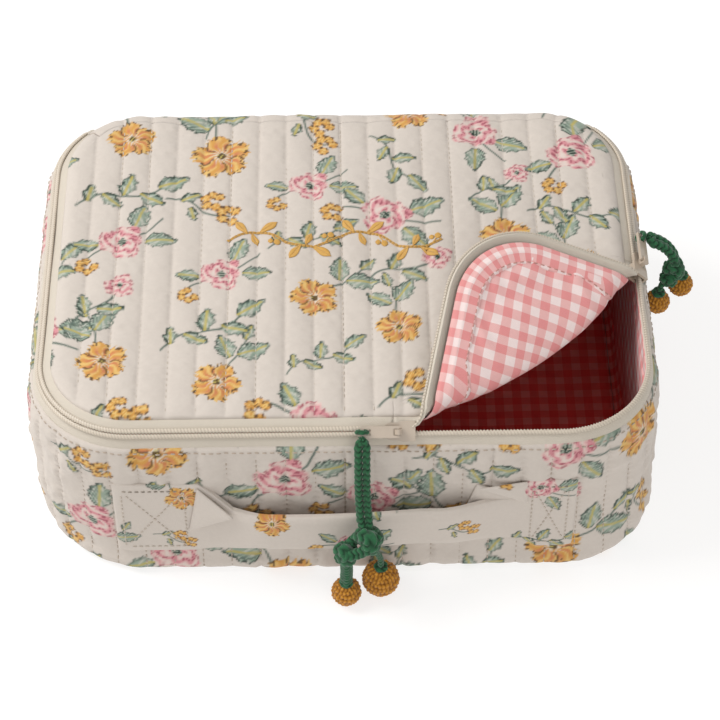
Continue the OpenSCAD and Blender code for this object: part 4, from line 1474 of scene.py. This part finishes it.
def strap_back(s, v):
    """How far the strap's back stands off the wall."""
    return 0.3 + (grip_out - 0.3 + 0.9 * (1 - (s / grip_edge) ** 2).clip(0)) * strap_share(s)


def strap_front(s, v):
    """The strap is full in the middle and thin at its edges, and puffs a little between the tabs'
    stitches."""
    low, high = strap_edges(s)
    inset = (1 - np.abs(v)) * (high - low) / 2
    tab = 1.9 + 0.9 * ease(inset, 5) * ease(strap_end - np.abs(s), 4)
    free = 1.3 + 1.9 * ease(inset, 5) + 0.25 * ripple(s, 8 * v, 30, 71)
    share = strap_share(s)
    return strap_back(s, v) + tab * (1 - share) + free * share


# %% The strap's two halves
strap_print = printed(scatter((-104, 10), (104, 60), 63, 37, 30, 0.85))
strap_pieces = []
for name, start, end, node_list in (
    ("handle_strap_left", -strap_end, STRAP_SPLIT, ("handle_tab_left", "handle_pleat_left", "handle_grip")),
    ("handle_strap_right", STRAP_SPLIT, strap_end, ("handle_tab_right", "handle_pleat_right")),
):
    strap = panel(
        name,
        printed_cotton,
        strap_place,
        steps(start, end, 0.5),
        steps(-1, 1, 0.02),
        strap_front,
        strap_back,
        step=2,
        flat=strap_flat,
        paint=strap_print,
    )
    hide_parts(*node_list)
    strap_pieces.append(strap)

# %% The folds at the strap's ends
def facet_maps(a, b, c):
    """The place and flat functions of a three-cornered facet, whose corners are given as (s, height): u
    runs from a to the side from b to c, and v along that side."""

    def flat(u, v):
        """Cloth coordinates of the facet: s and the height."""
        return tuple(a[k] + u * ((1 - v) * (b[k] - a[k]) + v * (c[k] - a[k])) for k in (0, 1))

    def place(u, v, offset):
        """A point of the facet."""
        s, z = flat(u, v)
        return skin(s, section_start + z, offset)

    return place, flat


plain_cloth = printed([])
facets = (
    # name, three corners, offsets at the corners, print
    ("handle_fold_left", (-65, 30), (-60.5, 57.5), (-46, 45.5), (3.6, 3.4, 9.5), plain_cloth),
    ("handle_ear_right", (75, 46), (55, 58), (75, 58.6), (3.4, 5.6, 2.6), strap_print),
    ("handle_hollow_right", (76, 45), (54, 57), (50, 43), (1.2, 2.0, 2.2), strap_print),
)
for name, a, b, c, (at_a, at_b, at_c), paint in facets:
    place, flat = facet_maps(a, b, c)

    def facet_face(u, v, rise=1.0):
        """The offset of the facet's face, from those at its corners, and puffed between its edges."""
        level = at_a * (1 - u) + u * (at_b * (1 - v) + at_c * v)
        return level + rise * (0.25 + 0.9 * ease(np.minimum(1 - u, u * np.minimum(v, 1 - v)), 0.3))

    facet = panel(
        name,
        printed_cotton,
        place,
        steps(0.01, 1, 0.03),
        steps(0, 1, 0.04),
        facet_face,
        lambda u, v: facet_face(u, v, -0.5),
        step=2,
        flip=np.cross(np.subtract(b, a), np.subtract(c, a)) < 0,
        flat=flat,
        paint=paint,
    )
    strap_pieces.append(facet)

# %% How the handle's pieces ride: the strap's halves and the left fold keep the place baked into their meshes, and the other facets ride on the case
for piece in strap_pieces:
    if "strap" in piece.name or piece.name == "handle_fold_left":
        side = -1 if piece.name.endswith("left") else 1
        level = (-(half_depth + 2) * MM, strap_level * MM)
        start, end = ((side * x * MM, *level) for x in (tab_edge, grip_edge + 2))
        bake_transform(piece)
        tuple(start)
        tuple(end)
    else:
        settle(piece, "case", "printed_cotton")

# %% The square and cross on each tab
tab_rows = []
tab_rows_low, tab_rows_high = 19, 55.5
for side, near, far in ((-1, 66, 91.5), (1, 77, 91.5)):
    square = [(near, tab_rows_low), (far, tab_rows_low), (far, tab_rows_high), (near, tab_rows_high)]
    corners = [*square, square[0], square[2], square[3], square[1]]
    for (x0, z0), (x1, z1) in zip(corners, corners[1:]):
        s = side * (x0 + (x1 - x0) * fine)
        z = z0 + (z1 - z0) * fine
        low, high = strap_edges(s)
        v = 2 * (z - low) / (high - low) - 1
        tab_rows.append(strap_place(s, v, strap_front(s, v) + SINK))
tab_stitches = stitches("handle_tab_stitches", tab_rows, pale_thread, pitch=2.6)
settle(tab_stitches, "case", "embroidery_thread", "handle_tab_stitching")

# %% [markdown]
# ## The embroidery
# A sprig across the lid is worked in mustard thread. The stem is a row of back stitches, and each leaf is
# satin stitch: threads laid side by side from its rib to its edge, on a slant. Real threads catch the light
# along their length, which a raised flat shape would not, so each one is a bar of its own.

# %% Satin stitch
# Stranded cotton: silky and bright, with a slight change of shade from thread to thread
mustard_thread = plain_finish("mustard_embroidery_thread", 0.5, "#c99a45", 400.0, 0.85, 1.08, sheen=0.3)
sprig_low, sprig_high = box_mm("lid_embroidery")
SPRIG_WAVES = 4
SPRIG_RADIUS = 17
sprig_half_angle = math.radians(42)
sprig_step = 2 * SPRIG_RADIUS * math.sin(sprig_half_angle)
sprig_scale = (sprig_high[0] - sprig_low[0]) / (SPRIG_WAVES * sprig_step)
crest = SPRIG_RADIUS * (1 - math.cos(sprig_half_angle))
LEAVES = [(-3, crest - 0.4, 125, 8.5, 3.6), (2, crest - 0.3, 38, 9.5, 4), (-1, crest - 0.6, -70, 7, 3)]
BERRIES = [(9.7, crest - 6.2, 1.5), (7, crest - 5.6, 1.2)]


def leaf_threads(x, y, angle, length, width):
    """Starts and ends of a leaf's threads, both sides of its rib, in the wave's coordinates."""
    along = np.arange(0.25, length, 0.42)
    half = width / 2 * np.sin(math.pi * (along / length) ** 0.85)
    rows = []
    for side in (-1, 1):
        tip = np.minimum(along + 0.9 * half, length)
        rows.append((np.stack([along, 0 * along], -1), np.stack([tip, side * half], -1)))
    c, s = math.cos(math.radians(angle)), math.sin(math.radians(angle))
    turn = np.array([[c, s], [-s, c]])
    return [(a @ turn + [x, y], b @ turn + [x, y]) for a, b in rows]


def wave_threads():
    """Starts and ends of the threads of one wave: its leaves, two lines of stem, a stalk, and two berries."""
    rows = [threads for leaf in LEAVES for threads in leaf_threads(*leaf)]
    for line in (-0.35, 0.35):
        turn = np.linspace(-sprig_half_angle, sprig_half_angle, 16)
        r = SPRIG_RADIUS + line
        arc = np.stack([r * np.sin(turn), r * np.cos(turn) - SPRIG_RADIUS * math.cos(sprig_half_angle)], -1)
        rows.append((arc[:-1], arc[1:]))
    foot, tip = np.array([6.9, crest - 1.2]), np.array([9.2, crest - 5.2])
    rows.append((np.array([foot]), np.array([tip])))
    for x, y, r in BERRIES:
        level = np.arange(-r + 0.2, r, 0.42)
        half = np.sqrt(r * r - level**2)
        rows.append((np.stack([x - half, y + level], -1), np.stack([x + half, y + level], -1)))
    return [np.concatenate(part) for part in zip(*rows)]


def on_lid(points, rise):
    """Sprig points laid on the quilted lid."""
    x, y = points[:, 0], points[:, 1]
    return points_of(x, y, top + lid_height(x, y) + rise)


# %% The sprig, wave by wave
threads = []
sprig_middle = (sprig_low[1] + sprig_high[1]) / 2
for k in range(SPRIG_WAVES):
    flip = np.array([1, 1 if k % 2 == 0 else -1])
    at = np.array([sprig_low[0] + (k + 0.5) * sprig_step * sprig_scale, sprig_middle])
    a, b = (part * flip * sprig_scale + at for part in wave_threads())
    threads.append((on_lid(a, 0.25), on_lid(b, 0.2)))
starts, ends = (np.concatenate(part) for part in zip(*threads))
embroidery = thread_bars("lid_embroidered_sprig", starts, ends, mustard_thread, 0.3)
settle(embroidery, "lid", "embroidery_thread", "lid_embroidery")

# %% [markdown]
# ## The charms
# Two cords of crocheted cotton hang from each pull tab. They are knotted together, and below the knot two
# thin cords carry crocheted balls. A crocheted cord is a tube whose surface rises in V-shaped stitches,
# columns of them side by side. A ball is worked in rows round and round, with the same stitches. One formula
# for the rise gives both the shape and a painted shade, which darkens the yarn in its grooves, where shade
# falls.

# %% Crochet yarn
def crochet_cotton(name, dark, light):
    """Soft, matt yarn, with a painted shade that darkens it in the grooves between stitches, and fine fibres
    on top.
    """
    made, tree, shader = material(name, 0.9, sheen=0.25, specular=0.2)
    where = add(tree, "TexCoord").outputs["Object"]
    tint(tree, shader, between(tree, dark, light), where, 900.0, 0.72, 1.15)
    fibres = add(tree, "TexNoise", Vector=where, Scale=2600.0, Detail=3.0)
    bent = add(tree, "Bump", Height=fibres.outputs[0], Strength=0.6, Distance=0.0004)
    tree.links.new(bent.outputs[0], shader.inputs["Normal"])
    return made


# Each yarn's first colour is its painted shade in the grooves, and its second is the yarn's own colour
YARNS = {
    "green": crochet_cotton("green_crochet_cotton", "#0b2716", "#2b6540"),
    "mustard": crochet_cotton("mustard_crochet_cotton", "#7c4a0e", "#cb8c30"),
}
print("yarns:", *YARNS)

# %% Crocheted cords along a path
STITCH = 2.5


def smooth_path(points, pitch):
    """Points a pitch apart on a smooth line through the given ones (Catmull-Rom)."""
    points = np.asarray(points, dtype=float)
    padded = np.concatenate([[2 * points[0] - points[1]], points, [2 * points[-1] - points[-2]]])
    line = []
    for a, b, c, d in zip(padded, padded[1:], padded[2:], padded[3:]):
        u = np.linspace(0, 1, 24, endpoint=False)[:, None]
        bend, twist = 2 * a - 5 * b + 4 * c - d, 3 * b - a - 3 * c + d
        line.append(0.5 * (2 * b + (c - a) * u + bend * u**2 + twist * u**3))
    line = np.concatenate([*line, points[-1:]])
    length = np.concatenate([[0], np.cumsum(np.linalg.norm(np.diff(line, axis=0), axis=1))])
    at = np.linspace(0, length[-1], max(4, round(length[-1] / pitch) + 1))
    return np.stack([np.interp(at, length, line[:, k]) for k in range(3)], -1), at


def crocheted_cord(path, radius, columns=4, taper=0.6):
    """Points, faces and painted shades, darker in the grooves, of a cord along a path. Across each column of
    stitches the shape is a V: the rise is |sin(pi (s / STITCH + |c - 1/2|))|, with c the share across the
    column."""
    centre, s = smooth_path(path, 0.3)
    way = np.gradient(centre, axis=0)
    way /= np.linalg.norm(way, axis=1, keepdims=True)
    side = np.zeros_like(way)
    last = np.cross(way[0], [0.3, 0.2, 0.93])
    for k, direction in enumerate(way):
        last = last - direction * (last @ direction)
        last /= np.linalg.norm(last)
        side[k] = last
    other = np.cross(way, side)
    sides = 7 * columns
    theta = np.linspace(0, 2 * math.pi, sides, endpoint=False)
    share = (theta * columns / (2 * math.pi)) % 1
    rise = np.abs(np.sin(math.pi * (s[:, None] / STITCH + 0.9 * np.abs(share - 0.5)))) ** 0.7
    rise = rise * (0.55 + 0.45 * np.sin(math.pi * share))
    rise = rise + 0.12 * ripple(s[:, None] * 3, theta * radius * 3, 5, 81)
    end = np.sqrt(np.clip(np.minimum(s, s[-1] - s) / taper, 0.02, 1))[:, None]
    r = radius * (0.78 + 0.3 * rise) * end
    ring = np.cos(theta)[:, None] * side[:, None] + np.sin(theta)[:, None] * other[:, None]
    points = centre[:, None] + r[..., None] * ring
    return points.reshape(-1, 3), tube_faces(len(s), sides), np.clip(rise, 0, 1).ravel()


# %% Crocheted balls, and pieces of several parts
BALL_GRID = 0.36


def crocheted_ball(centre, radius, row=1.9, stitch=1.9):
    """Points, faces and painted shades, darker in the grooves, of a ball worked in a spiral of stitches, a
    row high and a stitch wide.
    """
    half_round = math.pi * radius / BALL_GRID
    polar = np.linspace(0.03, math.pi - 0.03, max(24, round(half_round)))[:, None]
    theta = np.linspace(0, 2 * math.pi, max(32, round(2 * half_round)), endpoint=False)[None, :]
    spiral = polar * radius / row + theta / (2 * math.pi)
    share = spiral % 1
    count = np.round(2 * math.pi * radius * np.sin(np.floor(spiral) * row / radius).clip(0.1) / stitch) + 1
    wave = np.abs(np.sin(theta * count / 2 + 1.4 * np.abs(share - 0.5) + np.floor(spiral) * 1.3)) ** 0.7
    rise = wave * (0.45 + 0.55 * np.sin(math.pi * share)) + 0.3 * ripple(theta * 6, polar * 12, 4, 83)
    r = radius * (1 + 0.02 * ripple(theta, 2 * polar, 3, 85)) - 0.55 + 0.75 * rise
    out = r * np.sin(polar)
    points = points_of(out * np.cos(theta), out * np.sin(theta), r * np.cos(polar))
    faces = [f[:, ::-1] for f in tube_faces(*points.shape[:2])]
    return points.reshape(-1, 3) + centre, faces, np.clip(rise, 0, 1).ravel()


def worked(name, parts, body, node, colour="green"):
    """One piece of several crocheted parts, which rides on a body and stands for a node."""
    part_points, part_faces, part_shades = zip(*parts)
    starts = np.cumsum([0] + [len(points) for points in part_points])
    faces = [np.asarray(f) + start for start, several in zip(starts, part_faces) for f in several]
    # The parts' shades are painted shade, darker in the grooves between stitches
    shade = np.repeat(np.concatenate(part_shades)[:, None], 3, axis=1)
    piece = new_piece(name, np.concatenate(part_points), faces, YARNS[colour], colour=shade)
    settle(piece, body, colour + "_crochet", node)
    return piece


# %% Places on the two charms
front_eye, side_eye = (sum(box_mm(name + "_cord_loop")) / 2 for name in ("front", "side"))
STRAND = 1.55
# The strands' routes from the pull tab, each point given along the rim, out from the wall and over the base
FRONT_ROUTE = [[0, 4.4, 84.6], [0, 6.2, 81.5], [0, 8.3, 77.5], [0, 10.2, 73], [0, 12, 68]]
FRONT_ROUTE += [[0.2, 13.9, 63], [0.5, 16, 58], [0.9, 18.2, 53.2]]
SIDE_ROUTE = [[0, 4.6, 85.2], [0.2, 6.7, 84.5], [0.5, 8.9, 83.3], [1, 11.1, 81.7]]
SIDE_ROUTE += [[1.5, 12.9, 79.7], [1.9, 14.2, 77.6], [2.2, 14.9, 75.6]]


def at_front(p):
    """A point of the front charm."""
    return np.array([front_eye[0] + p[0], -half_depth - p[1], p[2]])


def at_side(p):
    """A point of the side charm."""
    return np.array([half_width + p[1], side_eye[1] - p[0], p[2]])


def loop_path(eye, along, out, radius=2.06):
    """A circle about a point, in the plane of two directions."""
    turn = np.linspace(0, 2 * math.pi, 25)[:, None]
    return eye + radius * (np.cos(turn) * along + np.sin(turn) * out)


def knot_wraps(a, b, ra, rb):
    """The cord of a big knot: a ring round each lobe, square to the line through both, and a band over
    them."""
    line = (b - a) / np.linalg.norm(b - a)
    side = np.cross(line, [0, 0, 1])
    side /= np.linalg.norm(side)
    up = np.cross(side, line)
    parts = []
    turn = np.linspace(0, 2 * math.pi, 25)[:, None]
    for centre, r in ((a, ra), (b, rb)):
        parts.append(crocheted_ball(centre, 0.66 * r, 2.2, 2.2))
        tube = 0.56 * r
        ring = centre + (r - tube) * (np.cos(turn) * side + np.sin(turn) * up)
        parts.append(crocheted_cord(ring + 0.25 * r * np.sin(2 * turn) * line, tube, 5))
    over = [a - 0.7 * ra * line, a - 0.1 * ra * line - 0.62 * ra * side, (a + b) / 2 - 0.6 * rb * side]
    over += [b - 0.45 * rb * side + 0.3 * rb * up, b + 0.75 * rb * line]
    parts.append(crocheted_cord(over, 0.44 * rb, 4))
    under = [a - 0.6 * ra * line, a + 0.55 * ra * side + 0.2 * ra * up]
    under += [b + 0.5 * rb * side, b + 0.7 * rb * line]
    parts.append(crocheted_cord(under, 0.44 * rb, 4))
    return parts


# %% The two charms' cords, knots and balls
slant = math.sqrt(0.5)
X_WAY, Y_WAY = np.array([1, 0, 0]), np.array([0, 1, 0])
charms = (
    # name, place, route, strands' radius and nodes, the loop's eye and directions, the knot's lobes and
    # their radii, balls (centre, radius, node), and stems (path, radius)
    (
        "front",
        at_front,
        FRONT_ROUTE,
        1.65,
        ("front_strand_left", "front_strand_right"),
        (front_eye, X_WAY, np.array([0, -slant, slant])),
        ((2.5, 22.2, 46.6), (-6.6, 23.6, 39.5), 6.4, 5.6),
        (((-6.8, 18.8, 6.8), 6.2, "front_ball_left"), ((7.7, 13.4, 8.4), 7.8, "front_ball_right")),
        (
            ([[-6.8, 23.2, 38], [-6.8, 22.4, 31], [-6.7, 20.8, 24], [-6.8, 19.4, 17], [-6.8, 19, 12]], 2.5),
            ([[3.4, 21, 40.4], [4.6, 19.2, 35.5], [6, 16.8, 30], [7.3, 14.6, 24], [7.7, 13.4, 16]], 1.25),
        ),
    ),
    (
        "side",
        at_side,
        SIDE_ROUTE,
        2.1,
        ("side_strand_back", "side_strand_front"),
        (side_eye, Y_WAY, np.array([slant, 0, slant])),
        ((2.2, 15.4, 70), (3.8, 13.2, 65.2), 5.2, 4.2),
        (((-1, 19.6, 56.5), 5.4, "side_ball_outer"), ((4.6, 9.4, 51.5), 5.4, "side_ball_inner")),
        (
            ([[0.9, 18.2, 68], [0, 19.2, 65], [-1, 19.6, 61]], 1.3),
            ([[4.2, 11.8, 65], [4.5, 10, 60.5], [4.6, 9.4, 56]], 1.3),
        ),
    ),
)
for name, place, route, thick, strand_nodes, (eye, along, out), (a, b, ra, rb), balls, stems in charms:
    body = name + "_charm"
    loop = crocheted_cord(loop_path(eye, along, out), 0.95, 3)
    worked(name + "_loop", [loop], name + "_loop", name + "_cord_loop")
    top_knot = crocheted_ball(sum(box_mm(body + "_top_knot")) / 2, 1.6, 1.5)
    stem_cords = [crocheted_cord([place(p) for p in points], r, 4) for points, r in stems]
    hung = [
        worked(name + "_top_knot", [top_knot], body, body + "_top_knot"),
        worked(name + "_knot", knot_wraps(place(a), place(b), ra, rb), body, body + "_knot"),
        worked(name + "_stems", stem_cords, body, body + "_stems"),
    ]
    caps = []
    for centre, radius, node in balls:
        hung.append(worked(node + "_crochet", [crocheted_ball(place(centre), radius)], body, node, "mustard"))
        cap_middle = place(centre) + [0, 0, radius + 0.2]
        caps.append(crocheted_cord(loop_path(cap_middle, X_WAY, Y_WAY, 1.9), 1.15, 3))
    hung.append(worked(name + "_caps", caps, body, body + "_caps"))
    for k, node in enumerate(strand_nodes):
        shift = (STRAND + 0.05) * (2 * k - 1)
        start = place(np.array(route[0]) + [0.2 * shift, -1.1, 1.9])
        end = place(0.55 * np.array(a) + 0.45 * np.array(route[-1]) + [0.5 * shift, 0, 0])
        path = np.array([start, *(place(np.array(p) + [shift, 0, 0]) for p in route), end])
        strand = worked(node + "_crochet", [crocheted_cord(path, thick, 4, 0.3)], body, node)

# %% Finishes of the pieces that keep the construction's own shape
# Wadding is loose white fibre, and the plain cotton is the gingham seen from too far to tell its checks
even = (60.0, 0.9, 1.03)
loose_wadding = plain_finish("loose_polyester_wadding", 0.95, "#d2cfc8", *even, sheen=0.3, specular=0.1)
plain_gingham = plain_finish("plain_pink_cotton", 0.86, "#c68a86", *even, specular=0.25)
kept_finishes = (
    ("wadding", loose_wadding),
    ("slider", enamelled_zinc),
    ("pull_tab", enamelled_zinc),
    ("binding", plain_gingham),
)
for node_name, node in frame["nodes"].items():
    finish = next((f for key, f in kept_finishes if key in node_name), zip_tape_cloth)
    node.data.materials.clear()
    node.data.materials.append(finish)
print("finishes set on", len(frame["nodes"]), "pieces of the frame")
